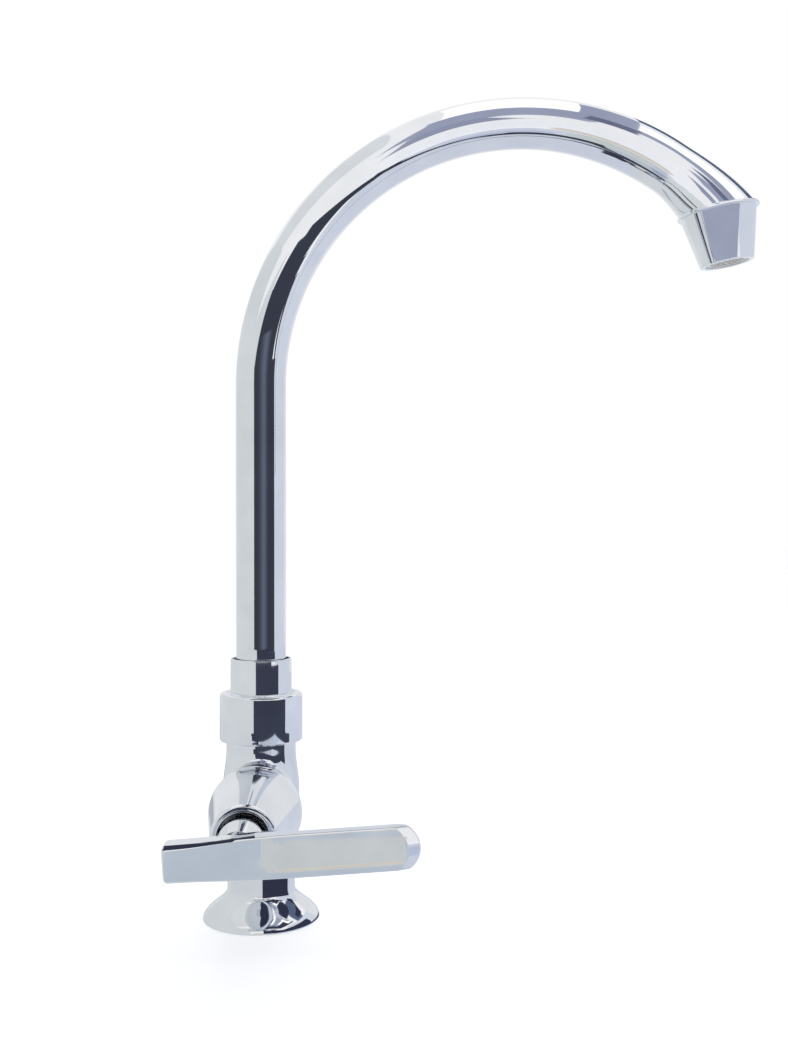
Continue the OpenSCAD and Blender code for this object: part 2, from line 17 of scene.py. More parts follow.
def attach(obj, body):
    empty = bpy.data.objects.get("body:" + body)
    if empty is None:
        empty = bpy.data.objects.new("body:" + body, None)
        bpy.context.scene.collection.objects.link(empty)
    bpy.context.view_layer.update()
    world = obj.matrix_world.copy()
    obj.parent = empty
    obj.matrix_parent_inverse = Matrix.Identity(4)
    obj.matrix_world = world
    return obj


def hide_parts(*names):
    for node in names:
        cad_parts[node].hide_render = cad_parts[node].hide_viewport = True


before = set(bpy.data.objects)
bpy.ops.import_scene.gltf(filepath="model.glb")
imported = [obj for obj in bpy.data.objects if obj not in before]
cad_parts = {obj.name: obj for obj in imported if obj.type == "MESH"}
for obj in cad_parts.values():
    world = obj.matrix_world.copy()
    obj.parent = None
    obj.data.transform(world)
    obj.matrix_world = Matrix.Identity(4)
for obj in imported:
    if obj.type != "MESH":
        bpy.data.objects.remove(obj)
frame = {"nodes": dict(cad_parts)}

MM = 0.001
MERGE_DISTANCE = 1e-6
SMOOTH_ANGLE = math.radians(35)
ARC_STEPS = 5
EDGE_SLACK = 0.01
log = logging.getLogger("scene")

Pair = tuple[float, float]
Triple = tuple[float, float, float]


class Part(Enum):
    """Bodies of the tap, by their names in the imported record."""

    TAP = "tap_body"
    SPOUT = "spout"
    HANDLE = "handle"


# Sizes


def ease(share: float) -> float:
    """Runs smoothly from 0 to 1 as the share does, and stays there outside."""
    share = min(1.0, max(0.0, share))
    return share * share * (3 - 2 * share)


def swell(columns: int) -> float:
    """Gives the factor that makes a smoothed cage of some columns as wide as its rows say."""
    return 1 / (2 / 3 + math.cos(2 * math.pi / columns) / 3)


@dataclass(frozen=True)
class GooseneckSize:
    """The bent tube: radius, bend, and how it widens towards the outlet."""

    tube_r: float = 9.6
    bend_r: float = 101.0
    bend_z: float = 205.0
    foot_z: float = 84.0
    top_angle: float = 90.0
    end_angle: float = 42.0
    knee_angle: float = 56.0
    knee_growth: float = 0.6
    end_half_w: float = 14.6
    end_half_d: float = 13.6
    flare_power: float = 1.6
    lean_power: float = 1.15
    tilt: float = 10.0
    wall: float = 1.0
    sides: int = 96
    straight_steps: int = 8
    bend_steps: int = 72
    flare_steps: int = 40

    def centre(self, angle: float) -> Vector:
        """Finds a point on the bend's centre line.

        Args:
            angle: degrees about the bend's centre, 180 at the upright tube and 90 at the top.

        Returns:
            The point, in metres.
        """
        a = math.radians(angle)
        return Vector((self.bend_r * (1 + math.cos(a)), 0.0, self.bend_z + self.bend_r * math.sin(a))) * MM

    def section(self, t: float) -> tuple[Vector, float, float, float]:
        """Finds one cross-section of the widening length.

        Args:
            t: 0 at the top of the bend, 1 at the oblique end.

        Returns:
            The centre in metres, the lean in degrees, and half the width and depth in millimetres.
        """
        span = self.top_angle - self.end_angle
        knee = (self.top_angle - self.knee_angle) / span
        angle = self.top_angle - span * t
        late = max(0.0, (t - knee) / (1 - knee))
        grown = self.tube_r + self.knee_growth * ease(t / knee)
        half_w = grown + (self.end_half_w - grown) * late**self.flare_power
        half_d = grown + (self.end_half_d - grown) * late**self.flare_power
        lean = angle
        if late > 0:
            lean = self.knee_angle + (self.tilt - self.knee_angle) * late**self.lean_power
        return self.centre(angle), lean, half_w, half_d


@dataclass(frozen=True)
class NozzleSize:
    """The conical outlet, measured down from the lip's upper face."""

    lip_r: float = 15.5
    lip_bore_r: float = 11.6
    lip_t: float = 1.3
    top_r: float = 14.4
    mouth_r: float = 10.15
    length: float = 19.6
    thread_z: float = 11.0
    insert_r: float = 8.29
    throat_r: float = 7.0
    throat_h: float = 2.0


@dataclass(frozen=True)
class BodySize:
    """The cast body: a pillar round the upright axis, and a globe and cone round the valve's axis."""

    foot_r: float = 22.4
    foot_edge: float = 0.4
    waist_r: float = 13.0
    belly_r: float = 14.7
    neck_r: float = 13.3
    waist_z: Pair = (12.0, 22.0)
    waist_rows: Triple = (14.5, 18.5, 24.0)
    belly_z: float = 50.0
    neck_z: float = 65.5
    neck_rows: Pair = (62.5, 66.5)
    spigot_r: float = 13.2
    spigot_top: float = 79.0
    socket_r: float = 10.96
    socket_floor: float = 61.5
    tail_bore_r: float = 10.52
    tail_top: float = 12.8
    recess_r: float = 20.0
    recess_h: float = 1.2
    valve_z: float = 45.0
    globe_s: float = 20.0
    globe_r: float = 17.3
    branch_r: float = 11.3
    branch_l: float = 57.0
    branch_rows: tuple[float, ...] = (17.0, 22.0, 29.0, 38.0, 47.0, 54.0)
    mouth_r: float = 9.05
    shoulder_s: float = 31.0
    chamber_r: float = 8.6
    chamber_end_s: float = 2.0
    blend: float = 4.5
    pillar_columns: int = 16
    branch_columns: int = 20
    window_columns: int = 6
    window_half: float = 12.0
    window_edge: Pair = (12.6, 16.4)
    inside_r: float = 12.0
    levels: int = 3

    def side(self, z: np.ndarray) -> np.ndarray:
        """Gives the pillar's radius at each height.

        Args:
            z: heights, in millimetres.

        Returns:
            The radii, in millimetres.
        """
        low_waist, high_waist = self.waist_z
        stops = (
            (self.foot_edge, self.foot_r),
            (low_waist, self.waist_r),
            (high_waist, self.waist_r),
            (self.belly_z, self.belly_r),
            (self.neck_z, self.neck_r),
        )
        radius = np.full_like(z, self.foot_r, dtype=float)
        for (low, r0), (high, r1) in zip(stops, stops[1:]):
            share = np.clip((z - low) / (high - low), 0, 1)
            radius += (r1 - r0) * (1 - np.cos(np.pi * share)) / 2
        return radius

    def touch(self) -> float:
        """Gives the angle, seen from the globe's centre, at which the cone touches the globe."""
        reach = self.branch_l - self.globe_s
        return math.atan2(self.branch_r, reach) + math.acos(self.globe_r / math.hypot(reach, self.branch_r))

    def branch_side(self, s: float) -> float:
        """Gives the radius of the globe and cone at a distance from the body's axis.

        Args:
            s: the distance, in millimetres.

        Returns:
            The radius, in millimetres.
        """
        touch = self.touch()
        out = s - self.globe_s
        if out < self.globe_r * math.cos(touch):
            return math.sqrt(max(0.0, self.globe_r**2 - out**2))
        return (self.globe_r - out * math.cos(touch)) / math.sin(touch)

    def depth(self, points: np.ndarray) -> np.ndarray:
        """Measures how far points lie outside the blended form.

        Args:
            points: one point a row, in millimetres.

        Returns:
            Distances in millimetres, negative inside.
        """
        x, y, z = points.T
        step = 0.05
        slope = (self.side(z + step) - self.side(z - step)) / (2 * step)
        pillar = (np.hypot(x, y) - self.side(z)) / np.hypot(1, slope)
        touch = self.touch()
        out = -y - self.globe_s
        away = np.hypot(x, z - self.valve_z)
        cone = out * math.cos(touch) + away * math.sin(touch) - self.globe_r
        globe = np.hypot(out, away) - self.globe_r
        branch = np.where(out * math.sin(touch) > away * math.cos(touch), cone, globe)
        shared = np.maximum(self.blend - np.abs(pillar - branch), 0) / self.blend
        return np.minimum(pillar, branch) - shared**2 * self.blend / 4

    def window_place(self, point: Vector) -> Pair:
        """Places a point on the window where the globe leaves the pillar.

        Args:
            point: the point, in metres.

        Returns:
            Its place across and up the window, each from -1 to 1 inside it.
        """
        half_angle = self.window_columns * math.pi / self.pillar_columns
        across = math.atan2(point.x, -point.y) / half_angle
        return across, (point.z / MM - self.valve_z) / self.window_half

    def in_window(self, point: Vector, slack: float = 0.0) -> bool:
        """Tells whether a point lies on the pillar's outside and within the window.

        Args:
            point: the point, in metres.
            slack: how far past the window's edge still counts, as a share of its half size.

        Returns:
            Whether it does.
        """
        across, up = self.window_place(point)
        outside = math.hypot(point.x, point.y) > self.inside_r * MM
        return outside and max(abs(across), abs(up)) < 1 + slack

    def rows(self) -> list[Pair]:
        """Lists the cage's rows as radius and height, from the tail's bore round to the socket.

        Returns:
            The rows, in millimetres.
        """
        levels = [self.valve_z + self.window_half * k / 2 for k in range(-2, 3)]
        bell_h = self.waist_z[0] - self.foot_edge
        bell = [self.foot_edge + bell_h * share for share in (0.1, 0.3, 0.5, 0.7, 0.9)]
        heights = [*bell, *self.waist_rows, *levels, *self.neck_rows]
        edge = 0.2
        return [
            (0.0, self.tail_top),
            (self.tail_bore_r - edge, self.tail_top),
            (self.tail_bore_r, self.tail_top - edge),
            (self.tail_bore_r, self.recess_h + edge),
            (self.tail_bore_r + edge, self.recess_h),
            (self.recess_r - edge, self.recess_h),
            (self.recess_r, self.recess_h - edge),
            (self.recess_r, edge),
            (self.recess_r + edge, 0.0),
            (self.foot_r - 0.6, 0.0),
            (self.foot_r - 0.15, 0.1),
            (self.foot_r, 0.5),
            *[(float(self.side(np.array([z]))[0]), z) for z in heights],
            (self.spigot_r, self.neck_z + 5.5),
            (self.spigot_r, self.spigot_top - 0.5),
            (self.spigot_r - 0.4, self.spigot_top),
            (self.socket_r + 0.3, self.spigot_top),
            (self.socket_r, self.spigot_top - 0.3),
            (self.socket_r, self.socket_floor + 0.4),
            (self.socket_r - 0.4, self.socket_floor),
            (0.0, self.socket_floor),
        ]

    def branch_rings(self) -> list[Pair]:
        """Lists the branch's rings as distance from the body's axis and radius, from root to bore's end.

        Returns:
            The rings, in millimetres.
        """
        end = self.branch_l
        shoulder = self.shoulder_s
        floor = self.chamber_end_s
        return [
            *[(s, self.branch_side(s)) for s in self.branch_rows],
            (end - 1.2, self.branch_r + 0.15),
            (end - 0.35, self.branch_r - 0.1),
            (end, self.branch_r - 0.7),
            (end, self.mouth_r + 0.75),
            (end - 0.3, self.mouth_r + 0.15),
            (end - 0.9, self.mouth_r),
            (end - 4.0, self.mouth_r),
            (shoulder + 0.3, self.mouth_r),
            (shoulder, self.mouth_r - 0.15),
            (shoulder, self.chamber_r + 0.15),
            (shoulder - 0.3, self.chamber_r),
            (floor + 1.0, self.chamber_r),
            (floor, self.chamber_r - 0.5),
            (floor, 0.0),
        ]


@dataclass(frozen=True)
class SwivelSize:
    """The swivel nut and the sleeve above it."""

    nut_r: float = 15.9
    nut_low: float = 68.6
    nut_bore_r: float = 13.45
    nut_chamber_r: float = 12.8
    play: float = 0.08
    lip_low: float = 82.8
    lip_top: float = 85.6
    rim_h: float = 1.5
    collar_r: float = 11.75
    collar_bore_r: float = 10.94
    collar_low: float = 81.4
    collar_top: float = 100.2
    flange_r: float = 12.6
    flange_t: float = 1.3
    thread_r: float = 13.26
    thread_top: float = 79.6
    relief_top: float = 71.0


@dataclass(frozen=True)
class LeverSize:
    """The bar lever and its hub, measured out from the body's axis and along the bar."""

    reach: float = 60.0
    tail: float = 22.7
    half: float = 6.9
    tail_half: float = 6.2
    full_x: float = 21.0
    back: float = 73.5
    front: float = 81.99
    tip_t: float = 5.5
    tip_r: float = 8.0
    tip_start: float = 40.0
    nose: float = 4.0
    nose_t: float = 2.6
    nose_slope: float = 0.34
    hub_s: float = 54.0
    hub_r: float = 8.2
    hub_h: float = 8.0
    hub_waist_r: float = 6.6
    bore_r: float = 4.15
    grub_s: float = 64.0
    grub_r: float = 2.04
    rise: float = 4.0
    crown: float = 0.08
    back_start: float = 9.0
    back_run: float = 14.0
    pad_start: float = 9.0
    pad_run_out: float = 6.0
    pad_low: float = 2.0
    pad_low_run: float = 1.4
    pad_depth: float = 0.2
    pad_slope: float = 0.02
    pad_end: float = 55.8
    pad_step: float = 0.6
    edge: float = 0.4
    tail_edge: float = 1.6
    edge_change: Pair = (-20.0, 6.0)
    tail_corner: float = 1.3
    thin: float = 0.6
    grid_x: int = 220
    grid_y: int = 64

    def half_height(self, x: float) -> float:
        """Gives half the bar's height at a place along it.

        Args:
            x: the place, from the valve's axis towards the tip.

        Returns:
            Half the height, in millimetres.
        """
        along = x + self.tail
        height = self.tail_half + (self.half - self.tail_half) * ease(along / (self.full_x + self.tail))
        gap = max(0.0, self.tail_corner - along)
        return height - self.tail_corner + math.sqrt(max(0.0, self.tail_corner**2 - gap**2))

    def rounding(self, inside: float, radius: float) -> float:
        """Gives how far an edge of some radius falls back at a distance inside the outline."""
        gap = radius - min(radius, max(0.0, inside))
        return radius - math.sqrt(max(0.0, radius**2 - gap**2))

    def long_edge(self, x: float) -> float:
        """Gives the radius of the long edges, which are softest at the short end."""
        start, end = self.edge_change
        return self.tail_edge + (self.edge - self.tail_edge) * ease((x - start) / (end - start))

    def fall(self, x: float, y: float, half: float) -> float:
        """Gives how far the front lies behind its highest line, by its crown and the thumb's flat.

        Args:
            x: the place along the bar.
            y: the place up the bar.
            half: half the bar's height there.

        Returns:
            The distance, in millimetres.
        """
        along = ease((x - self.pad_start) / self.pad_run_out) * ease((self.pad_end - x) / self.pad_step)
        up = ease((y + half - self.pad_low) / self.pad_low_run)
        return self.crown * (y / half) ** 2 + (self.pad_depth + self.pad_slope * y) * along * up

    def point(self, u: float, v: float, front: bool) -> Vector:
        """Places one point of the bar.

        Args:
            u: from -1 at the short end to 1 at the tip.
            v: from -1 at the lower edge to 1 at the upper.
            front: whether the point is on the front or on the back.

        Returns:
            The point in millimetres, along the bar, up and out from the body.
        """
        even = (u + math.sin(math.pi / 2 * u)) / 2
        x = -self.tail + (self.reach + self.tail) * (even + 1) / 2
        half = self.half_height(x)
        y = half * math.sin(math.pi / 2 * v)
        end = self.reach - self.tip_r + math.sqrt(self.tip_r**2 - min(abs(y), half) ** 2)
        late = max(0.0, (x - self.tip_start) / (self.reach - self.tip_start))
        x -= (self.reach - end) * late
        to_tip, to_tail, to_side = end - x, x + self.tail, half - abs(y)
        rounded_edge = self.rounding(to_side, self.long_edge(x))
        rounded_edge += self.rounding(to_tip, self.edge) + self.rounding(to_tail, self.edge)
        cap = self.nose_slope * max(0.0, self.nose - to_tip)
        high = self.front - self.fall(x, y, half) - cap - rounded_edge
        if front:
            return Vector((x, y, high))
        low = self.back + (self.front - self.tip_t - self.back) * ease((x - self.back_start) / self.back_run)
        turn = max(0.0, 1 - to_tip / self.nose)
        low += (self.tip_t - self.nose_t) * (1 - math.sqrt(max(0.0, 1 - turn * turn)))
        return Vector((x, y, min(low + min(rounded_edge, 2 * self.edge), high - self.thin)))


@dataclass(frozen=True)
class DeckSize:
    """The threaded tail."""

    shank_r: float = 10.4775
    bore_r: float = 6.5
    length: float = 56.0
    top: float = 12.6
    groove_r: float = 9.5
    groove_z: float = -41.0
    groove_w: float = 1.5
    pitch: float = 1.814
    thread_h: float = 0.9
    smooth_angle: float = 25.0
    sides: int = 64


# Modelling helpers


def deselect() -> None:
    """Clears the selection of objects."""
    bpy.ops.object.select_all(action="DESELECT")


def select_only(piece: Object) -> None:
    """Selects one object alone and makes it the active one.

    Args:
        piece: the object.
    """
    deselect()
    piece.select_set(True)
    bpy.context.view_layer.objects.active = piece


def draw_path(name: str, path: Sequence[Pair]) -> Object:
    """Starts a mesh with a line along a path in the XZ plane, and leaves it in edit mode.

    Args:
        name: name of the new object.
        path: radius and height of each point, in millimetres.

    Returns:
        The new object.
    """
    deselect()
    bpy.ops.mesh.primitive_plane_add(size=MM)
    piece = bpy.context.object
    piece.name = piece.data.name = name
    bpy.ops.object.mode_set(mode="EDIT")
    bpy.ops.mesh.select_all(action="SELECT")
    bpy.ops.mesh.merge(type="CENTER")
    stops = [Vector((r, 0.0, z)) * MM for r, z in path]
    bpy.ops.transform.translate(value=stops[0])
    for here, there in zip(stops, stops[1:]):
        bpy.ops.mesh.extrude_vertices_move(TRANSFORM_OT_translate={"value": there - here})
    return piece


def clean_up() -> None:
    """Merges doubled vertices of the mesh in edit mode and turns all its faces outward."""
    bpy.ops.mesh.select_all(action="SELECT")
    bpy.ops.mesh.remove_doubles(threshold=MERGE_DISTANCE)
    bpy.ops.mesh.normals_make_consistent(inside=False)


def select_faces(piece: Object, test: Callable[[Vector], bool]) -> None:
    """Selects the faces that pass a test, and leaves the piece in edit mode.

    Args:
        piece: the piece, in object mode.
        test: takes a face's centre.
    """
    select_only(piece)
    bpy.ops.object.mode_set(mode="EDIT")
    bpy.ops.mesh.select_mode(type="FACE")
    bpy.ops.mesh.select_all(action="DESELECT")
    bpy.ops.object.mode_set(mode="OBJECT")
    for face in piece.data.polygons:
        face.select = test(face.center)
    bpy.ops.object.mode_set(mode="EDIT")


def rounded(corners: Sequence[Triple], closed: bool) -> list[Pair]:
    """Rounds the corners of a profile.

    Args:
        corners: radius, height and corner radius of each corner, in millimetres.
        closed: whether the profile runs back to its first corner.

    Returns:
        The points of the rounded profile.
    """
    points = []
    last = len(corners) - 1
    for i, (r, z, radius) in enumerate(corners):
        if radius <= 0 or (not closed and i in (0, last)):
            points.append((r, z))
            continue
        here = Vector((r, z))
        before = (Vector(corners[i - 1][:2]) - here).normalized()
        after = (Vector(corners[(i + 1) % len(corners)][:2]) - here).normalized()
        half = before.angle(after) / 2
        centre = here + (before + after).normalized() * (radius / math.sin(half))
        reach = radius / math.tan(half)
        first = here + before * reach - centre
        second = here + after * reach - centre
        for k in range(ARC_STEPS + 1):
            spoke = first.lerp(second, k / ARC_STEPS).normalized() * radius
            points.append((centre.x + spoke.x, centre.y + spoke.y))
    return points


def spin_profile(name: str, path: Sequence[Pair], closed: bool, sides: int) -> Object:
    """Turns a profile about Z into a solid of revolution.

    Args:
        name: name of the new object.
        path: radius and height of each point, in millimetres.
        closed: whether the profile runs back to its first point.
        sides: number of steps round the axis.

    Returns:
        The new object.
    """
    piece = draw_path(name, [*path, path[0]] if closed else path)
    bpy.ops.mesh.select_all(action="SELECT")
    bpy.ops.mesh.remove_doubles(threshold=MERGE_DISTANCE)
    bpy.ops.mesh.select_all(action="SELECT")
    bpy.ops.mesh.spin(steps=sides, angle=2 * math.pi, center=(0, 0, 0), axis=(0, 0, 1))
    clean_up()
    bpy.ops.object.mode_set(mode="OBJECT")
    return piece


def turned(name: str, corners: Sequence[Triple], closed: bool = True, sides: int = 128) -> Object:
    """Makes a turned piece with rounded corners, standing on Z.

    Args:
        name: name of the new object.
        corners: radius, height and corner radius of each corner, in millimetres.
        closed: whether the profile runs back to its first corner.
        sides: number of steps round the axis.

    Returns:
        The new object, smooth-shaded.
    """
    piece = spin_profile(name, rounded(corners, closed), closed, sides)
    bpy.ops.object.shade_smooth_by_angle(angle=SMOOTH_ANGLE)
    return piece


def put(piece: Object, place: Matrix) -> None:
    """Moves a piece and leaves its object at the origin, unturned.

    Args:
        piece: the piece to move.
        place: where it goes, in the row frame.
    """
    select_only(piece)
    piece.matrix_world = place
    bpy.ops.object.transform_apply(location=True, rotation=True, scale=True)


def apply_modifier(piece: Object, kind: str, **settings: object) -> None:
    """Adds a modifier and applies it.

    Args:
        piece: the piece it works on.
        kind: Blender's name of the modifier's type.
        settings: the modifier's properties.
    """
    select_only(piece)
    modifier = piece.modifiers.new(kind.lower(), kind)
    for key, value in settings.items():
        setattr(modifier, key, value)
    bpy.ops.object.modifier_apply(modifier=modifier.name)


def cut(piece: Object, tool: Object) -> None:
    """Cuts a tool's shape away from a piece and removes the tool."""
    apply_modifier(piece, "BOOLEAN", operation="DIFFERENCE", solver="EXACT", object=tool)
    bpy.data.objects.remove(tool)


def valve_place(turn: float = 0.0) -> Matrix:
    """Gives the place that turns +Z into the valve's direction.

    Args:
        turn: degrees about the valve's axis, positive when the lever's long end goes up.

    Returns:
        The matrix, with the body's axis as its origin.
    """
    spin = Matrix.Rotation(math.radians(turn), 4, "Z")
    return Matrix.Translation((0, 0, BodySize().valve_z * MM)) @ Matrix.Rotation(math.pi / 2, 4, "X") @ spin


def outlet_place() -> Matrix:
    """Gives the place that turns +Z into the water's direction, from the nozzle's upper face.

    Returns:
        The matrix.
    """
    neck = GooseneckSize()
    turn = Matrix.Rotation(math.pi - math.radians(neck.tilt), 4, "Y")
    return Matrix.Translation(neck.centre(neck.end_angle)) @ turn


# Finishes


def linear(hex_colour: str) -> tuple[float, float, float, float]:
    """Converts an sRGB colour to linear light.

    Args:
        hex_colour: six hexadecimal digits.

    Returns:
        Linear red, green, blue and alpha.
    """
    values = [int(hex_colour[i : i + 2], 16) / 255 for i in (0, 2, 4)]
    channels = [v / 12.92 if v <= 0.04045 else ((v + 0.055) / 1.055) ** 2.4 for v in values]
    return (*channels, 1.0)


def add_node(tree: NodeTree, kind: str, **values: object) -> Node:
    """Adds a shader node and sets it up.

    Args:
        tree: the node tree.
        kind: Blender's name of the node's type.
        values: sockets and properties by name, with underscores for spaces; an output socket makes a link.

    Returns:
        The new node.
    """
    node = tree.nodes.new(kind)
    for key, value in values.items():
        name = key.replace("_", " ")
        if name not in node.inputs:
            setattr(node, key, value)
        elif isinstance(value, NodeSocket):
            tree.links.new(value, node.inputs[name])
        else:
            node.inputs[name].default_value = value
    return node


def new_material(name: str, **values: object) -> tuple[Material, NodeTree, Node]:
    """Starts a material from its shader's constants.

    Args:
        name: name of the material.
        values: sockets of the shader by name, with underscores for spaces.

    Returns:
        The material, its node tree and its shader.
    """
    material = bpy.data.materials.new(name)
    material.use_nodes = True
    tree = material.node_tree
    shader = tree.nodes["Principled BSDF"]
    for key, value in values.items():
        shader.inputs[key.replace("_", " ")].default_value = value
    return material, tree, shader


@dataclass(frozen=True)
class Finish:
    """A finish whose colour and roughness follow one soft mottle.

    Its tones and its roughness are those at the mottle's low and high values.
    """

    name: str
    tones: tuple[str, str]
    mottle_mm: float
    rough: Pair
    detail: float = 4.0
    distortion: float = 0.0
    mottle_span: Pair = (0.0, 1.0)
    tone_span: Pair = (0.3, 0.7)

    def constants(self) -> dict[str, float]:
        """Gives the shader's constants, which are a metal's unless the finish says otherwise."""
        return {"Metallic": 1.0}

    def material(self) -> Material:
        """Makes the material.

        Returns:
            The material.
        """
        material, tree, shader = new_material(self.name, **self.constants())
        coords = add_node(tree, "ShaderNodeTexCoord").outputs["Object"]
        mottle = add_node(
            tree, "ShaderNodeTexNoise", Vector=coords, Scale=1 / (self.mottle_mm * MM),
            Detail=self.detail, Distortion=self.distortion,
        ).outputs["Fac"]
        ramp = add_node(tree, "ShaderNodeValToRGB", Fac=mottle)
        for stop, tone, place in zip(ramp.color_ramp.elements, self.tones, self.tone_span):
            stop.color = linear(tone)
            stop.position = place
        tree.links.new(ramp.outputs["Color"], shader.inputs["Base Color"])
        low, high = self.mottle_span
        at_low, at_high = self.rough
        rough = add_node(
            tree, "ShaderNodeMapRange", Value=mottle,
            From_Min=low, From_Max=high, To_Min=at_low, To_Max=at_high,
        )
        tree.links.new(rough.outputs["Result"], shader.inputs["Roughness"])
        relief = self.relief(tree, coords, mottle)
        if relief:
            tree.links.new(relief.outputs["Normal"], shader.inputs["Normal"])
        return material

    def relief(self, tree: NodeTree, coords: NodeSocket, mottle: NodeSocket) -> Node | None:
        """Adds the relief of the surface, which a finish has only if it says so."""
        return None


@dataclass(frozen=True)
class ElectroplatedChrome(Finish):
    """Decorative chrome over nickel on polished brass: a cool, slightly blue mirror.

    Polishing leaves broad waves that bend long reflections a little, and handling leaves a breath of haze.
    """

    name: str = "electroplated_chrome"
    tones: tuple[str, str] = ("e3e5e9", "eceef2")
    mottle_mm: float = 14.0
    rough: Pair = (0.035, 0.085)
    detail: float = 5.0
    mottle_span: Pair = (0.35, 0.75)
    wave_mm: float = 9.0
    wave_depth_mm: float = 0.004
    peel_mm: float = 0.9
    peel_depth_mm: float = 0.00035

    def relief(self, tree: NodeTree, coords: NodeSocket, mottle: NodeSocket) -> Node:
        """Adds the polisher's waves and a fine peel on them.

        Args:
            tree: the node tree.
            coords: the object's own coordinates.
            mottle: the finish's mottle.

        Returns:
            The bump node.
        """
        wave_scale = 1 / (self.wave_mm * MM)
        peel_scale = 1 / (self.peel_mm * MM)
        waves = add_node(tree, "ShaderNodeTexNoise", Vector=coords, Scale=wave_scale, Detail=0.0)
        peel = add_node(tree, "ShaderNodeTexNoise", Vector=coords, Scale=peel_scale, Detail=1.0)
        broad = add_node(
            tree, "ShaderNodeBump", Height=waves.outputs["Fac"],
            Distance=self.wave_depth_mm * MM, Strength=1.0,
        )
        return add_node(
            tree, "ShaderNodeBump", Height=peel.outputs["Fac"],
            Distance=self.peel_depth_mm * MM, Strength=1.0, Normal=broad.outputs["Normal"],
        )


@dataclass(frozen=True)
class TurnedBrass(Finish):
    """Free-cutting brass straight from the lathe: warm yellow, satin, with tool rings and dull patches."""

    name: str = "turned_brass"
    tones: tuple[str, str] = ("b08a45", "dcbf7c")
    mottle_mm: float = 5.0
    rough: Pair = (0.42, 0.22)
    ring_mm: float = 0.35
    ring_depth_mm: float = 0.006
    ring_wander: float = 0.6

    def relief(self, tree: NodeTree, coords: NodeSocket, mottle: NodeSocket) -> Node:
        """Adds the rings that the tool leaves.

        Args:
            tree: the node tree.
            coords: the object's own coordinates.
            mottle: the finish's mottle.

        Returns:
            The bump node.
        """
        # A real feed mark is about 0.1 mm wide: the rings are drawn coarser so that they show.
        rings = add_node(
            tree, "ShaderNodeTexWave", wave_type="BANDS", bands_direction="Z", Vector=coords,
            Scale=1 / (self.ring_mm * MM * 2 * math.pi), Distortion=self.ring_wander,
        )
        return add_node(
            tree, "ShaderNodeBump", Height=rings.outputs["Fac"],
            Distance=self.ring_depth_mm * MM, Strength=0.6,
        )


@dataclass(frozen=True)
class MouldedRubber(Finish):
    """Moulded black rubber: nearly matte, with a bloom of grey and the faint grain of its mould."""

    name: str = "moulded_epdm_rubber"
    tones: tuple[str, str] = ("141516", "26282a")
    mottle_mm: float = 3.0
    rough: Pair = (0.5, 0.75)
    grain_mm: float = 0.4
    grain_depth_mm: float = 0.02

    def constants(self) -> dict[str, float]:
        """Gives the shader's constants."""
        return {"IOR": 1.52}

    def relief(self, tree: NodeTree, coords: NodeSocket, mottle: NodeSocket) -> Node:
        """Adds the grain of the mould.

        Args:
            tree: the node tree.
            coords: the object's own coordinates.
            mottle: the finish's mottle.

        Returns:
            The bump node.
        """
        scale = 1 / (self.grain_mm * MM)
        depth = self.grain_depth_mm * MM
        grain = add_node(tree, "ShaderNodeTexNoise", Vector=coords, Scale=scale, Detail=2.0)
        return add_node(tree, "ShaderNodeBump", Height=grain.outputs["Fac"], Distance=depth, Strength=0.5)


@dataclass(frozen=True)
class MouldedAcetal(Finish):
    """Natural acetal from the mould: milky white, waxy, with light passing a little way into it."""

    name: str = "moulded_acetal"
    tones: tuple[str, str] = ("dfe0dc", "f1f1ee")
    mottle_mm: float = 6.0
    rough: Pair = (0.38, 0.38)
    detail: float = 3.0
    flow_depth_mm: float = 0.03
    light_depth_mm: float = 0.6

    def constants(self) -> dict[str, float]:
        """Gives the shader's constants, with the light that passes into it."""
        return {"IOR": 1.48, "Subsurface_Weight": 0.15, "Subsurface_Scale": self.light_depth_mm * MM}

    def relief(self, tree: NodeTree, coords: NodeSocket, mottle: NodeSocket) -> Node:
        """Adds the soft waves of its flow in the mould.

        Args:
            tree: the node tree.
            coords: the object's own coordinates.
            mottle: the finish's mottle.

        Returns:
            The bump node.
        """
        return add_node(
            tree, "ShaderNodeBump", Height=mottle, Distance=self.flow_depth_mm * MM, Strength=0.3
        )


@dataclass(frozen=True)
class StainlessSteel(Finish):
    """Stainless sheet and wire, tumbled: grey, satin, with short random scratches."""

    name: str = "tumbled_stainless_steel"
    tones: tuple[str, str] = ("a9abae", "c6c8ca")
    mottle_mm: float = 0.5
    rough: Pair = (0.25, 0.45)
    detail: float = 6.0
    distortion: float = 1.5
    scratch_depth_mm: float = 0.004

    def relief(self, tree: NodeTree, coords: NodeSocket, mottle: NodeSocket) -> Node:
        """Adds the scratches.

        Args:
            tree: the node tree.
            coords: the object's own coordinates.
            mottle: the finish's mottle.

        Returns:
            The bump node.
        """
        return add_node(
            tree, "ShaderNodeBump", Height=mottle, Distance=self.scratch_depth_mm * MM, Strength=0.5
        )


@dataclass(frozen=True)
class LappedCeramic(Finish):
    """Alumina valve discs, lapped flat: ivory white, dense, with a soft even sheen."""

    name: str = "lapped_alumina"
    tones: tuple[str, str] = ("eceae2", "f7f6f1")
    mottle_mm: float = 0.8
    rough: Pair = (0.12, 0.3)

    def constants(self) -> dict[str, float]:
        """Gives the shader's constants."""
        return {"IOR": 1.76}


@dataclass(frozen=True)
class BlackOxideSteel(Finish):
    """Hardened steel with black oxide: nearly black, oily, and rubbed bright in spots."""

    name: str = "black_oxide_steel"
    tones: tuple[str, str] = ("1b1b1d", "45464a")
    mottle_mm: float = 0.7
    rough: Pair = (0.5, 0.3)
    detail: float = 5.0


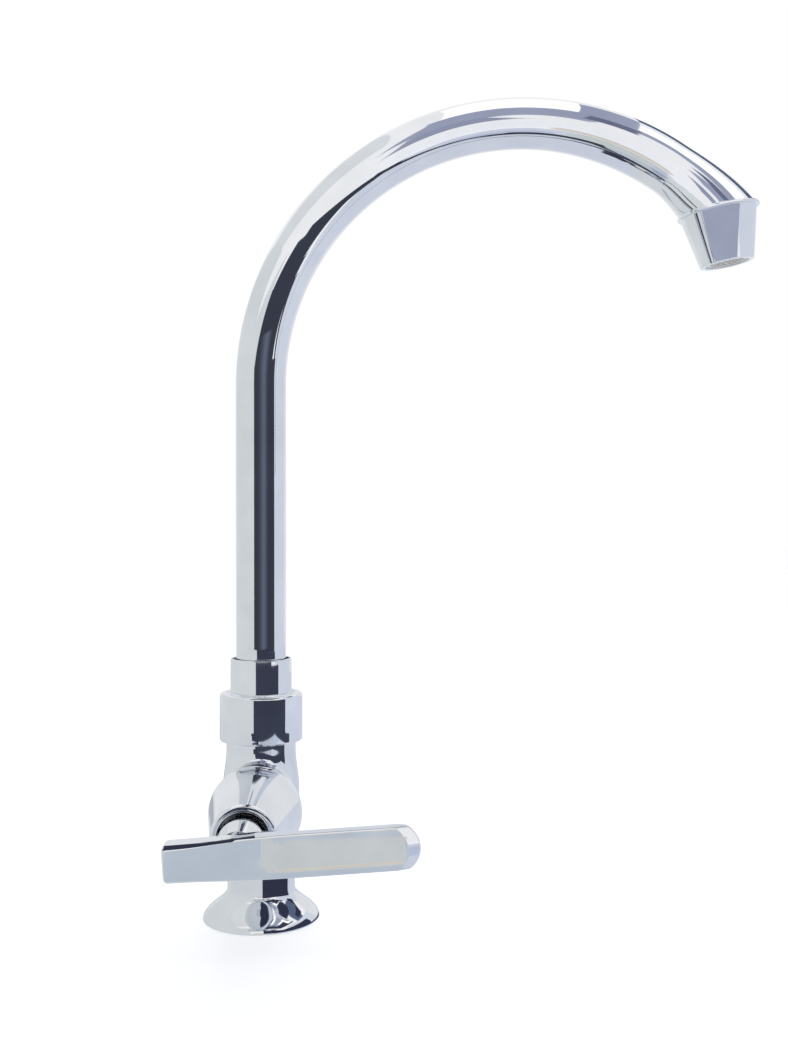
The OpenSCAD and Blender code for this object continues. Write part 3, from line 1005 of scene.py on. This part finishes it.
@dataclass
class Finishes:
    """The tap's finishes, each made once."""

    chrome: Material = field(default_factory=ElectroplatedChrome().material)
    brass: Material = field(default_factory=TurnedBrass().material)
    rubber: Material = field(default_factory=MouldedRubber().material)
    acetal: Material = field(default_factory=MouldedAcetal().material)
    steel: Material = field(default_factory=StainlessSteel().material)
    ceramic: Material = field(default_factory=LappedCeramic().material)
    black_steel: Material = field(default_factory=BlackOxideSteel().material)


def dress(item: Object, material: Material) -> None:
    """Gives an object one material all over."""
    item.data.materials.clear()
    item.data.materials.append(material)


def hand_over(piece: Object, part: Part, material: Material, *nodes: str) -> None:
    """Finishes a new piece: dresses it, makes it ride on its body and hides the CAD nodes it stands for.

    Args:
        piece: the finished mesh.
        part: the body it belongs to.
        material: its finish.
        nodes: the CAD nodes it stands for, which are hidden.
    """
    dress(piece, material)
    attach(piece, part.value)
    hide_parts(*nodes)
    log.info("%s stands for %s, %d faces", piece.name, ", ".join(nodes), len(piece.data.polygons))


# Gooseneck


@dataclass
class Gooseneck:
    """The bent spout tube, which widens towards its oblique end."""

    finishes: Finishes
    size: GooseneckSize = field(default_factory=GooseneckSize)

    def build(self) -> None:
        """Models the tube: a ring drawn up, bent over and widened, then given its wall."""
        size = self.size
        deselect()
        bpy.ops.mesh.primitive_circle_add(vertices=size.sides, radius=size.tube_r * MM)
        tube = bpy.context.object
        tube.name = tube.data.name = "gooseneck"
        bpy.ops.object.mode_set(mode="EDIT")
        bpy.ops.mesh.select_mode(type="VERT")
        bpy.ops.mesh.select_all(action="SELECT")
        bpy.ops.transform.translate(value=(0, 0, size.foot_z * MM))
        rise = (size.bend_z - size.foot_z) * MM / size.straight_steps
        for _ in range(size.straight_steps):
            bpy.ops.mesh.extrude_region_move(TRANSFORM_OT_translate={"value": (0, 0, rise)})
        bend_centre = (size.bend_r * MM, 0, size.bend_z * MM)
        bpy.ops.mesh.spin(steps=size.bend_steps, angle=-math.pi / 2, center=bend_centre, axis=(0, 1, 0))
        self.widen()
        clean_up()
        bpy.ops.object.mode_set(mode="OBJECT")
        apply_modifier(tube, "SOLIDIFY", thickness=size.wall * MM, offset=-1.0)
        bpy.ops.object.shade_smooth_by_angle(angle=SMOOTH_ANGLE)
        hand_over(tube, Part.SPOUT, self.finishes.chrome, "spout_tube")

    def widen(self) -> None:
        """Draws the selected ring on through the widening sections to the oblique end."""
        steps = self.size.flare_steps
        centre, lean, half_w, half_d = self.size.section(0.0)
        for k in range(1, steps + 1):
            there, turn, wide, deep = self.size.section(k / steps)
            growth = wide / half_w
            bpy.ops.mesh.extrude_region_move()
            bpy.ops.transform.resize(value=(growth, growth, growth), center_override=centre)
            bpy.ops.transform.resize(value=(1, deep / half_d / growth, 1), center_override=centre)
            bpy.ops.transform.rotate(value=math.radians(turn - lean), orient_axis="Y", center_override=centre)
            bpy.ops.transform.translate(value=there - centre)
            centre, lean, half_w, half_d = there, turn, wide, deep


# Outlet


@dataclass
class Outlet:
    """The conical nozzle, open for the aerator insert."""

    finishes: Finishes
    size: NozzleSize = field(default_factory=NozzleSize)

    def build(self) -> None:
        """Turns the nozzle: lip, cone, mouth and throat."""
        size = self.size
        foot = size.lip_t + size.length
        nozzle = turned("nozzle", [
            (size.lip_bore_r, 0.0, 0.0),
            (size.lip_r, 0.0, 0.35),
            (size.lip_r, size.lip_t, 0.35),
            (size.top_r, size.lip_t, 0.2),
            (size.mouth_r, foot, 0.45),
            (size.insert_r, foot, 0.25),
            (size.insert_r, size.thread_z, 0.0),
            (size.throat_r, size.thread_z, 0.0),
            (size.throat_r, size.thread_z - size.throat_h, 0.0),
        ])
        put(nozzle, outlet_place())
        hand_over(nozzle, Part.SPOUT, self.finishes.chrome, "outlet_nozzle")


# Swivel joint


@dataclass
class SwivelJoint:
    """The nut that holds the spout down and the sleeve above it."""

    finishes: Finishes
    size: SwivelSize = field(default_factory=SwivelSize)

    def build(self) -> None:
        """Models the nut and the sleeve."""
        self.nut()
        self.sleeve()

    def nut(self) -> None:
        """Turns the plain round nut with its raised outer rim."""
        size = self.size
        rim_top = size.lip_top + size.rim_h
        nut = turned("round_nut", [
            (size.nut_bore_r, size.nut_low, 0.2),
            (size.nut_r, size.nut_low, 0.9),
            (size.nut_r, rim_top, 1.2),
            (size.nut_r - 2.2, rim_top - 0.3, 0.5),
            (size.collar_r + 0.8, size.lip_top, 0.3),
            (size.collar_r + size.play, size.lip_top, 0.2),
            (size.collar_r + size.play, size.lip_low, 0.0),
            (size.nut_chamber_r, size.lip_low, 0.0),
            (size.nut_chamber_r, size.thread_top, 0.0),
            (size.thread_r, size.thread_top, 0.0),
            (size.thread_r, size.relief_top, 0.0),
            (size.nut_bore_r, size.relief_top, 0.0),
        ])
        hand_over(nut, Part.TAP, self.finishes.chrome, "swivel_nut")

    def sleeve(self) -> None:
        """Turns the sleeve, with its foot flange under the nut's lip."""
        size = self.size
        flange_top = size.collar_low + size.flange_t
        sleeve = turned("sleeve", [
            (size.collar_bore_r, size.collar_low, 0.0),
            (size.flange_r, size.collar_low, 0.0),
            (size.flange_r, flange_top, 0.0),
            (size.collar_r, flange_top, 0.0),
            (size.collar_r, size.collar_top, 0.35),
            (size.collar_bore_r, size.collar_top, 0.3),
        ])
        hand_over(sleeve, Part.SPOUT, self.finishes.chrome, "collar")


# Cast body


@dataclass
class CastBody:
    """The cast body: a bell foot, a waist, a belly, and the globe and cone of the valve grown out of it."""

    finishes: Finishes
    size: BodySize = field(default_factory=BodySize)

    def build(self) -> None:
        """Models the body as a cage that is smoothed and then drawn onto the blended form."""
        size = self.size
        wide = swell(size.pillar_columns)
        rows = [(r * wide, z) for r, z in size.rows()]
        body = spin_profile("cast_body", rows, False, size.pillar_columns)
        self.open_window(body)
        root = self.branch_root()
        select_only(body)
        root.select_set(True)
        bpy.ops.object.join()
        bpy.ops.object.mode_set(mode="EDIT")
        bpy.ops.mesh.select_mode(type="VERT")
        bpy.ops.mesh.select_all(action="DESELECT")
        bpy.ops.mesh.select_non_manifold()
        bpy.ops.mesh.bridge_edge_loops()
        self.grow_branch(body)
        apply_modifier(body, "SUBSURF", levels=size.levels, render_levels=size.levels)
        self.draw_on(body)
        bpy.ops.object.shade_smooth()
        hand_over(body, Part.TAP, self.finishes.chrome, "body")

    def open_window(self, body: Object) -> None:
        """Opens the pillar where the globe leaves it, and draws the edge onto the line where they meet.

        Args:
            body: the cage of the pillar.
        """
        size = self.size
        select_faces(body, size.in_window)
        bpy.ops.mesh.delete(type="FACE")
        bpy.ops.object.mode_set(mode="OBJECT")
        half_w, half_h = size.window_edge
        for vertex in body.data.vertices:
            if size.in_window(vertex.co, EDGE_SLACK):
                turn = self.edge_turn(*size.window_place(vertex.co))
                x, z = half_w * math.cos(turn), size.valve_z + half_h * math.sin(turn)
                radius = float(size.side(np.array([z]))[0])
                vertex.co = Vector((x, -math.sqrt(radius**2 - x**2), z)) * MM

    def edge_turn(self, across: float, up: float) -> float:
        """Turns a place on the square window's edge into an angle round the valve's axis.

        Args:
            across: place across the window, from -1 to 1.
            up: place up the window, from -1 to 1.

        Returns:
            The angle in radians, with the window's faces spread evenly round it.
        """
        corner = math.pi * 4 / self.size.branch_columns
        if abs(across) > 1 - EDGE_SLACK:
            turn = corner * up
            return turn if across > 0 else math.pi - turn
        turn = math.pi / 2 - (math.pi / 2 - corner) * across
        return turn if up > 0 else -turn

    def branch_root(self) -> Object:
        """Adds the ring that the opening's edge is bridged to.

        Returns:
            The ring.
        """
        size = self.size
        s, r = size.branch_rings()[0]
        deselect()
        bpy.ops.mesh.primitive_circle_add(
            vertices=size.branch_columns,
            radius=r * swell(size.branch_columns) * MM,
            location=(0, -s * MM, size.valve_z * MM),
            rotation=(math.pi / 2, 0, 0),
        )
        return bpy.context.object

    def grow_branch(self, body: Object) -> None:
        """Draws the branch out from its root, round its rim and down its bore.

        Args:
            body: the bridged cage, whose only open edges are the root ring's inner side.
        """
        rings = self.size.branch_rings()
        first, _ = rings[0]
        # Bridging leaves edges selected that must not be drawn out with the ring.
        bpy.ops.mesh.select_all(action="DESELECT")
        bpy.ops.object.mode_set(mode="OBJECT")
        for vertex in body.data.vertices:
            vertex.select = abs(vertex.co.y + first * MM) < MERGE_DISTANCE * 10
        bpy.ops.object.mode_set(mode="EDIT")
        for (s, r), (next_s, next_r) in zip(rings, rings[1:]):
            centre = Vector((0, -next_s, self.size.valve_z)) * MM
            bpy.ops.mesh.extrude_region_move(TRANSFORM_OT_translate={"value": (0, (s - next_s) * MM, 0)})
            if next_r > 0:
                scale = next_r / r
                bpy.ops.transform.resize(value=(scale, scale, scale), center_override=centre)
            else:
                bpy.ops.mesh.merge(type="CENTER")
        clean_up()
        bpy.ops.object.mode_set(mode="OBJECT")

    def draw_on(self, body: Object) -> None:
        """Draws the smoothed skin onto the exact form, whose pillar and globe flow into each other.

        Args:
            body: the smoothed body.
        """
        size = self.size
        flat = np.empty(len(body.data.vertices) * 3)
        body.data.vertices.foreach_get("co", flat)
        points = flat.reshape(-1, 3) / MM
        _, y, z = points.T
        low, high = 0.5, 67.5
        skin_t = 1.9
        # The shift fades out at the foot's edge, at the neck's top and at the branch's rim.
        fade = np.clip((z - low) / 0.8, 0, 1) * np.clip((high - z) / 1.5, 0, 1)
        fade *= np.clip((size.branch_l - 1.5 + y) / 2.0, 0, 1) * (np.abs(size.depth(points)) < skin_t)
        bore = np.hypot(points[:, 0], z - size.valve_z) < size.mouth_r + 0.3
        fade[bore & (y < -15)] = 0
        # A few steps down the slope bring each point onto the form.
        step = 0.02
        shifts = np.eye(3) * step
        for _ in range(6):
            here = size.depth(points)
            rises = [size.depth(points + shift) - size.depth(points - shift) for shift in shifts]
            slope = np.stack(rises, axis=1) / (2 * step)
            steep = np.maximum(np.sum(slope**2, axis=1), 0.05)
            points -= slope * (here * fade / steep)[:, None]
        body.data.vertices.foreach_set("co", (points * MM).ravel())
        body.data.update()


# Lever


@dataclass
class LeverHandle:
    """The bar lever: crowned in front, faced off for the thumb, on a turned hub."""

    finishes: Finishes
    size: LeverSize = field(default_factory=LeverSize)

    def build(self) -> None:
        """Models the lever and turns it to its place on the valve."""
        lever = self.bar()
        self.add_hub(lever)
        put(lever, valve_place(self.size.rise))
        bpy.ops.object.shade_smooth_by_angle(angle=SMOOTH_ANGLE)
        hand_over(lever, Part.HANDLE, self.finishes.chrome, "lever")

    def bar(self) -> Object:
        """Models the bar along X, its front towards +Z, from a thick grid whose points take its form.

        Returns:
            The bar.
        """
        size = self.size
        deselect()
        bpy.ops.mesh.primitive_grid_add(x_subdivisions=size.grid_x, y_subdivisions=size.grid_y, size=2)
        bar = bpy.context.object
        bar.name = bar.data.name = "bar_lever"
        bpy.ops.object.mode_set(mode="EDIT")
        bpy.ops.mesh.select_all(action="SELECT")
        bpy.ops.mesh.extrude_region_move(TRANSFORM_OT_translate={"value": (0, 0, -1)})
        clean_up()
        bpy.ops.object.mode_set(mode="OBJECT")
        for vertex in bar.data.vertices:
            vertex.co = size.point(vertex.co.x, vertex.co.y, front=vertex.co.z > -0.5) * MM
        return bar

    def add_hub(self, lever: Object) -> None:
        """Joins the turned hub to the bar's back and drills it for the grub screw.

        Args:
            lever: the bar.
        """
        size = self.size
        root = size.back + 1.0
        hub = turned("hub", [
            (size.bore_r, size.hub_s, 0.2),
            (size.hub_r, size.hub_s, 0.6),
            (size.hub_r, size.hub_s + size.hub_h, 6.0),
            (size.hub_waist_r, size.back - 2.5, 4.0),
            (size.hub_waist_r, root, 0.0),
            (size.bore_r, root, 0.0),
        ])
        apply_modifier(lever, "BOOLEAN", operation="UNION", solver="EXACT", object=hub)
        bpy.data.objects.remove(hub)
        deselect()
        bpy.ops.mesh.primitive_cylinder_add(vertices=32, radius=size.grub_r * MM, depth=size.hub_r * MM)
        drill = bpy.context.object
        start = Matrix.Translation(Vector((0, -size.hub_r, size.grub_s)) * MM)
        put(drill, start @ Matrix.Rotation(math.pi / 2, 4, "X"))
        cut(lever, drill)


# Deck fastening


@dataclass
class DeckFastening:
    """The threaded tail under the deck."""

    finishes: Finishes
    size: DeckSize = field(default_factory=DeckSize)

    def build(self) -> None:
        """Winds the thread round the tail, with a relief groove above its inlet end, and bores it."""
        size = self.size
        pitch = size.pitch
        root_r = size.shank_r - size.thread_h
        crest_r = size.shank_r
        low = -size.length
        start_z = low - pitch
        turns = math.ceil((size.length + size.top) / pitch) + 2
        tooth = [
            (root_r, 0.0), (root_r, 0.12), (crest_r, 0.44),
            (crest_r, 0.56), (root_r, 0.88), (root_r, 1.0),
        ]
        tail = draw_path("threaded_tail", [(r, start_z + share * pitch) for r, share in tooth])
        bpy.ops.object.mode_set(mode="OBJECT")
        apply_modifier(
            tail, "SCREW", axis="Z", angle=2 * math.pi, screw_offset=pitch * MM, iterations=turns,
            steps=size.sides, render_steps=size.sides,
            use_merge_vertices=True, merge_threshold=MERGE_DISTANCE,
        )
        self.trim(tail, low, keep_above=True)
        self.trim(tail, size.top, keep_above=False)
        outside = size.shank_r + 2
        groove_low = size.groove_z - size.groove_w
        cut(tail, turned("groove", [
            (size.groove_r, groove_low, 0.0),
            (outside, groove_low, 0.0),
            (outside, size.groove_z, 0.0),
            (size.groove_r, size.groove_z, 0.0),
        ]))
        deselect()
        drill_l = 4 * size.length * MM
        bpy.ops.mesh.primitive_cylinder_add(vertices=size.sides, radius=size.bore_r * MM, depth=drill_l)
        cut(tail, bpy.context.object)
        select_only(tail)
        bpy.ops.object.shade_smooth_by_angle(angle=math.radians(size.smooth_angle))
        hand_over(tail, Part.TAP, self.finishes.brass, "shank")

    def trim(self, tail: Object, z: float, keep_above: bool) -> None:
        """Cuts the tail off square and closes the cut.

        Args:
            tail: the threaded skin.
            z: height of the cut, in millimetres.
            keep_above: whether the part above the cut stays.
        """
        select_only(tail)
        bpy.ops.object.mode_set(mode="EDIT")
        bpy.ops.mesh.select_all(action="SELECT")
        bpy.ops.mesh.bisect(
            plane_co=(0, 0, z * MM), plane_no=(0, 0, 1), use_fill=True, threshold=MERGE_DISTANCE,
            clear_inner=keep_above, clear_outer=not keep_above,
        )
        clean_up()
        bpy.ops.object.mode_set(mode="OBJECT")


# Carried-over pieces


def dress_inner_pieces(finishes: Finishes, nodes: dict[str, Object]) -> None:
    """Gives the CAD pieces that keep their own shape the finish each is made in.

    Args:
        finishes: the tap's finishes.
        nodes: the CAD nodes by name.
    """
    groups = {
        finishes.brass: ("lock_nut", "spout_ferrule", "stem"),
        finishes.rubber: (
            "base_gasket", "deck_seal", "spout_seals", "headwork_seal", "seat_washer", "stem_seal",
            "aerator_washer",
        ),
        finishes.acetal: ("slip_washer", "aerator_body", "aerator_core"),
        finishes.steel: (
            "headwork", "stop_collar", "deck_washer", "split_ring", "stem_clip", "aerator_screen",
        ),
        finishes.ceramic: ("fixed_disc", "moving_disc"),
        finishes.black_steel: ("lever_screw",),
    }
    for material, names in groups.items():
        for name in names:
            dress(nodes[name], material)
            log.info("%s is finished in %s", name, material.name)


# Studio

# Tones that several of the mirrored cards share, as sRGB colours.
GREY_GREEN = "e0e4e5"
LAVENDER = "dee3ee"
SLATE = "a4a9bf"
TUBE_DARK = "3c404c"
ARCH_DARK = "3a3d48"
NUT_DARK = "3c4050"
FOOT_DARK = "34374a"


@dataclass(frozen=True)
class Card:
    """A flat card of one tone that the polished metal mirrors and nothing else sees.

    Its centre and its two half edges are in millimetres.
    """

    name: str
    centre: Triple
    half_a: Triple
    half_b: Triple
    tone: str
    strength: float = 1.0

    def place(self) -> None:
        """Adds the card to the stage."""
        a, b = Vector(self.half_a) * MM, Vector(self.half_b) * MM
        deselect()
        bpy.ops.mesh.primitive_plane_add(size=2)
        card = bpy.context.object
        card.name = self.name
        turn = Matrix((a, b, a.cross(b).normalized())).transposed().to_4x4()
        card.data.transform(Matrix.Translation(Vector(self.centre) * MM) @ turn)
        material = bpy.data.materials.new(self.name)
        material.use_nodes = True
        tree = material.node_tree
        tree.nodes.clear()
        glow = add_node(tree, "ShaderNodeEmission", Color=linear(self.tone), Strength=self.strength)
        add_node(tree, "ShaderNodeOutputMaterial", Surface=glow.outputs["Emission"])
        card.data.materials.append(material)
        for ray in ("camera", "diffuse", "transmission", "volume_scatter", "shadow"):
            setattr(card, f"visible_{ray}", False)


@dataclass(frozen=True)
class Studio:
    """A white light tent with grey-green and lavender walls and a dark open front, and the camera in it."""

    lens: float = 41.14
    sensor: float = 36.0
    camera_place: Triple = (51.3, -463.0, 154.4)
    target: Triple = (51.3, 0.0, 151.4)
    floor_lift: float = 0.42
    cards: tuple[Card, ...] = (
        Card("left_wall", (-450, 190, 310), (0, 610, 0), (0, 0, 310), GREY_GREEN),
        Card("right_wall", (700, 240, 310), (0, 560, 0), (0, 0, 310), LAVENDER),
        Card("back_wall", (125, 800, 310), (575, 0, 0), (0, 0, 310), "eceef0"),
        Card("left_floor", (-220, 200, 0.4), (230, 0, 0), (0, 600, 0), "dde1e3"),
        Card("right_floor", (355, 200, 0.4), (345, 0, 0), (0, 600, 0), "d9deea"),
        Card("globe_floor", (-155, 300, 1.0), (25, 0, 0), (-60, 130, 0), "b4b6c0"),
        Card("left_ceiling", (-260, 0, 620), (190, 0, 0), (0, 300, 0), "e6e9ea"),
        Card("front_left", (-255, -252, 170), (195, 0, 0), (0, 0, 170), GREY_GREEN),
        Card("front_right", (570, -252, 170), (130, 0, 0), (0, 0, 170), LAVENDER),
        Card("front_line", (30, -425, 45), (90, 0, 0), (0, 0, 45), "e0d8ca"),
        Card("front_floor", (10, -245, 0.8), (70, 0, 0), (0, 155, 0), "c5ced8"),
        Card("pad_floor", (41, -282, 1.2), (49, 0, 0), (0, 65, 0), "d4d8d6"),
        Card("cap_floor", (165, -215, 1.6), (60, 0, 0), (0, 60, 0), "c4cde2"),
        Card("tube_flag", (4.2, -30, 158.4), (15.8, 0, 0), (0, 0, 56.6), TUBE_DARK),
        Card("tube_side_flag", (20, -21.4, 158.4), (0, 8.6, 0), (0, 0, 56.6), TUBE_DARK),
        Card("tube_glow_edge", (9, -29.9, 164), (10, 0, 0), (0, 0, 62), "464b58"),
        Card("tube_glow", (9, -29.8, 164), (7, 0, 0), (0, 0, 62), "535967"),
        Card("tube_glow_middle", (9, -29.7, 164), (3.5, 0, 0), (0, 0, 62), "626a79"),
        Card("bend_side_flag", (47, -30, 226), (5.5, 0, 0), (-3, 0, 11.5), TUBE_DARK),
        Card("bend_low_flag", (17.5, -30, 230), (23, 0, 0), (5.5, 0, 15.2), TUBE_DARK),
        Card("bend_mid_flag", (26.5, -30, 254), (19.5, 0, 0), (6.5, 0, 9.2), TUBE_DARK),
        Card("bend_top_flag", (43, -30, 265.5), (24, 0, 3.5), (3, 0, 5.5), TUBE_DARK),
        Card("arch_line_left", (78, -30, 266), (22, 0, -5.5), (1, 0, 3), ARCH_DARK),
        Card("arch_line_mid", (109.5, -30, 257), (10, 0, -2.5), (2, 0, 8), ARCH_DARK),
        Card("arch_line_right", (116, -30, 241), (-2, 0, -15), (1.5, 0, 0), ARCH_DARK),
        Card("arch_line_low", (101, -30, 200), (-13, 0, -26), (2.5, 0, -1), ARCH_DARK),
        Card("nut_flag", (23, -66, 77.8), (37, 0, 0), (0, 0, 22.3), NUT_DARK),
        Card("nut_side_flag", (60, -45, 78.5), (0, 21, 0), (0, 0, 18.5), NUT_DARK),
        Card("waist_side_flag", (60, -37.7, 58), (0, 28.3, 0), (0, 0, 3.5), NUT_DARK),
        Card("nozzle_flag", (162, -30, 250), (39.2, 0, 12.5), (8, 0, 17.5), "a9afc4"),
        Card("foot_flag", (26.8, -50, 11), (18.3, 0, 0), (0, 0, 10.5), FOOT_DARK),
        Card("foot_side_flag", (45, -23, 10.5), (0, 27, 0), (0, 0, 10), FOOT_DARK),
        Card("foot_shade", (26, -23, 0.8), (19, 0, 0), (0, 27, 0), FOOT_DARK),
        Card("bell_flag", (20, -5, 26), (4, 0, 0), (0, 9, 0), FOOT_DARK),
        Card("bell_line", (33, 3, 26), (3, 0, 0), (0, 6, 0), FOOT_DARK),
        Card("tail_flag", (-14, -85.8, 53.5), (13, 0, 0.93), (0, -2.7, -4), FOOT_DARK),
        Card("tail_top_flag", (-14, -79.5, 57.2), (13, 0, 0.93), (0, 4, 0.2), FOOT_DARK),
        Card("lever_top_card", (32, -75.3, 55.3), (26, 0, 1.86), (0, 0, 1.3), "dfe3ea"),
        Card("white_ceiling", (112, -32, 619), (93, 0, 0), (0, 183, 0), "ffffff", 1.3),
        Card("white_side", (390, -92, 619), (90, 0, 0), (0, 113, 0), "ffffff", 1.3),
        Card("slate_gap", (252, -42, 618.5), (47, 0, 0), (0, 173, 0), SLATE),
        Card("slate_ceiling", (220, -282, 620), (220, 0, 0), (0, 68, 0), SLATE),
        Card("slate_shade", (265, -390, 619.5), (42, 0, 0), (0, 130, 0), "70768e"),
        Card("slate_front", (170, -600, 620), (75, 0, 0), (0, 270, 0), SLATE),
        Card("slate_left", (81, -250, 515), (69, 0, 0), (0, 0, 105), SLATE),
        Card("slate_left_low", (85, -250, 363), (28, 0, 0), (-14, 0, 47), "9a9fb6"),
        Card("dark_ceiling", (530, 310, 620), (230, 0, 0), (0, 160, 0), "5b6882"),
    )

    def build(self) -> None:
        """Sets up the floor, the walls, the lamps, the world and the camera."""
        self.floor()
        for card in self.cards:
            card.place()
        self.lamp("overhead_softbox", (100, 420, 1000), (0.9, 0.5), 1.8)
        self.lamp("round_lamp", (160, -420, 420), (0.05, 0.05), 0.12)
        self.world()
        self.camera()
        bpy.context.scene.view_settings.view_transform = "Standard"

    def floor(self) -> None:
        """Lays the pale floor."""
        deselect()
        bpy.ops.mesh.primitive_plane_add(size=6)
        floor = bpy.context.object
        floor.name = "floor"
        material, tree, shader = new_material("pale_floor", Roughness=0.6, IOR=1.45)
        shader.inputs["Base Color"].default_value = linear("f6f6f7")
        shader.inputs["Emission Color"].default_value = linear("ffffff")
        lift = add_node(tree, "ShaderNodeMath", operation="MULTIPLY")
        lift.inputs[1].default_value = self.floor_lift
        tree.links.new(self.seen(tree), lift.inputs[0])
        tree.links.new(lift.outputs[0], shader.inputs["Emission Strength"])
        dress(floor, material)

    def seen(self, tree: NodeTree) -> NodeSocket:
        """Gives a socket that is 1 for camera, glossy and transmission rays and 0 for others.

        Args:
            tree: the node tree that needs it.

        Returns:
            The socket.
        """
        path = add_node(tree, "ShaderNodeLightPath").outputs
        total = path["Is Camera Ray"]
        for ray in ("Is Glossy Ray", "Is Transmission Ray"):
            step = add_node(tree, "ShaderNodeMath", operation="ADD", use_clamp=True)
            tree.links.new(total, step.inputs[0])
            tree.links.new(path[ray], step.inputs[1])
            total = step.outputs[0]
        return total

    def aim(self, item: Object, place: Triple) -> None:
        """Adds a lamp or camera to the scene and points it at the tap.

        Args:
            item: the lamp or camera.
            place: where it goes, in millimetres.
        """
        bpy.context.scene.collection.objects.link(item)
        item.location = Vector(place) * MM
        item.rotation_euler = (Vector(self.target) * MM - item.location).to_track_quat("-Z", "Y").to_euler()

    def lamp(self, name: str, place: Triple, size: Pair, power: float) -> None:
        """Hangs an area lamp that points at the tap.

        Args:
            name: name of the lamp.
            place: where it hangs, in millimetres.
            size: its width and depth, in metres.
            power: its power, in watts.
        """
        light = bpy.data.lights.new(name, "AREA")
        light.shape = "ELLIPSE" if size[0] == size[1] else "RECTANGLE"
        light.size, light.size_y = size
        light.energy = power
        lamp = bpy.data.objects.new(name, light)
        self.aim(lamp, place)
        lamp.visible_camera = False
        lamp.visible_glossy = False

    def world(self) -> None:
        """Makes the white surround, which the camera and the metal see brighter than diffuse light does."""
        world = bpy.data.worlds.new("white_tent")
        bpy.context.scene.world = world
        world.use_nodes = True
        tree = world.node_tree
        tree.nodes.clear()
        light = add_node(tree, "ShaderNodeBackground", Color=linear("f4f6fa"), Strength=0.6)
        white = add_node(tree, "ShaderNodeBackground", Color=(1, 1, 1, 1), Strength=1.0)
        mix = add_node(tree, "ShaderNodeMixShader", Fac=self.seen(tree))
        tree.links.new(light.outputs[0], mix.inputs[1])
        tree.links.new(white.outputs[0], mix.inputs[2])
        add_node(tree, "ShaderNodeOutputWorld", Surface=mix.outputs[0])

    def camera(self) -> None:
        """Sets the camera where the photograph was taken from."""
        data = bpy.data.cameras.new("camera")
        data.lens = self.lens
        data.sensor_width = self.sensor
        data.clip_start = 0.01
        camera = bpy.data.objects.new("camera", data)
        self.aim(camera, self.camera_place)
        bpy.context.scene.camera = camera


def main() -> None:
    """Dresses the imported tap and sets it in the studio."""
    logging.basicConfig(level=logging.INFO, format="%(message)s")
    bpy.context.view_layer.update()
    finishes = Finishes()
    Gooseneck(finishes).build()
    Outlet(finishes).build()
    SwivelJoint(finishes).build()
    CastBody(finishes).build()
    LeverHandle(finishes).build()
    DeckFastening(finishes).build()
    dress_inner_pieces(finishes, frame["nodes"])
    Studio().build()


if __name__ == "__main__":
    main()
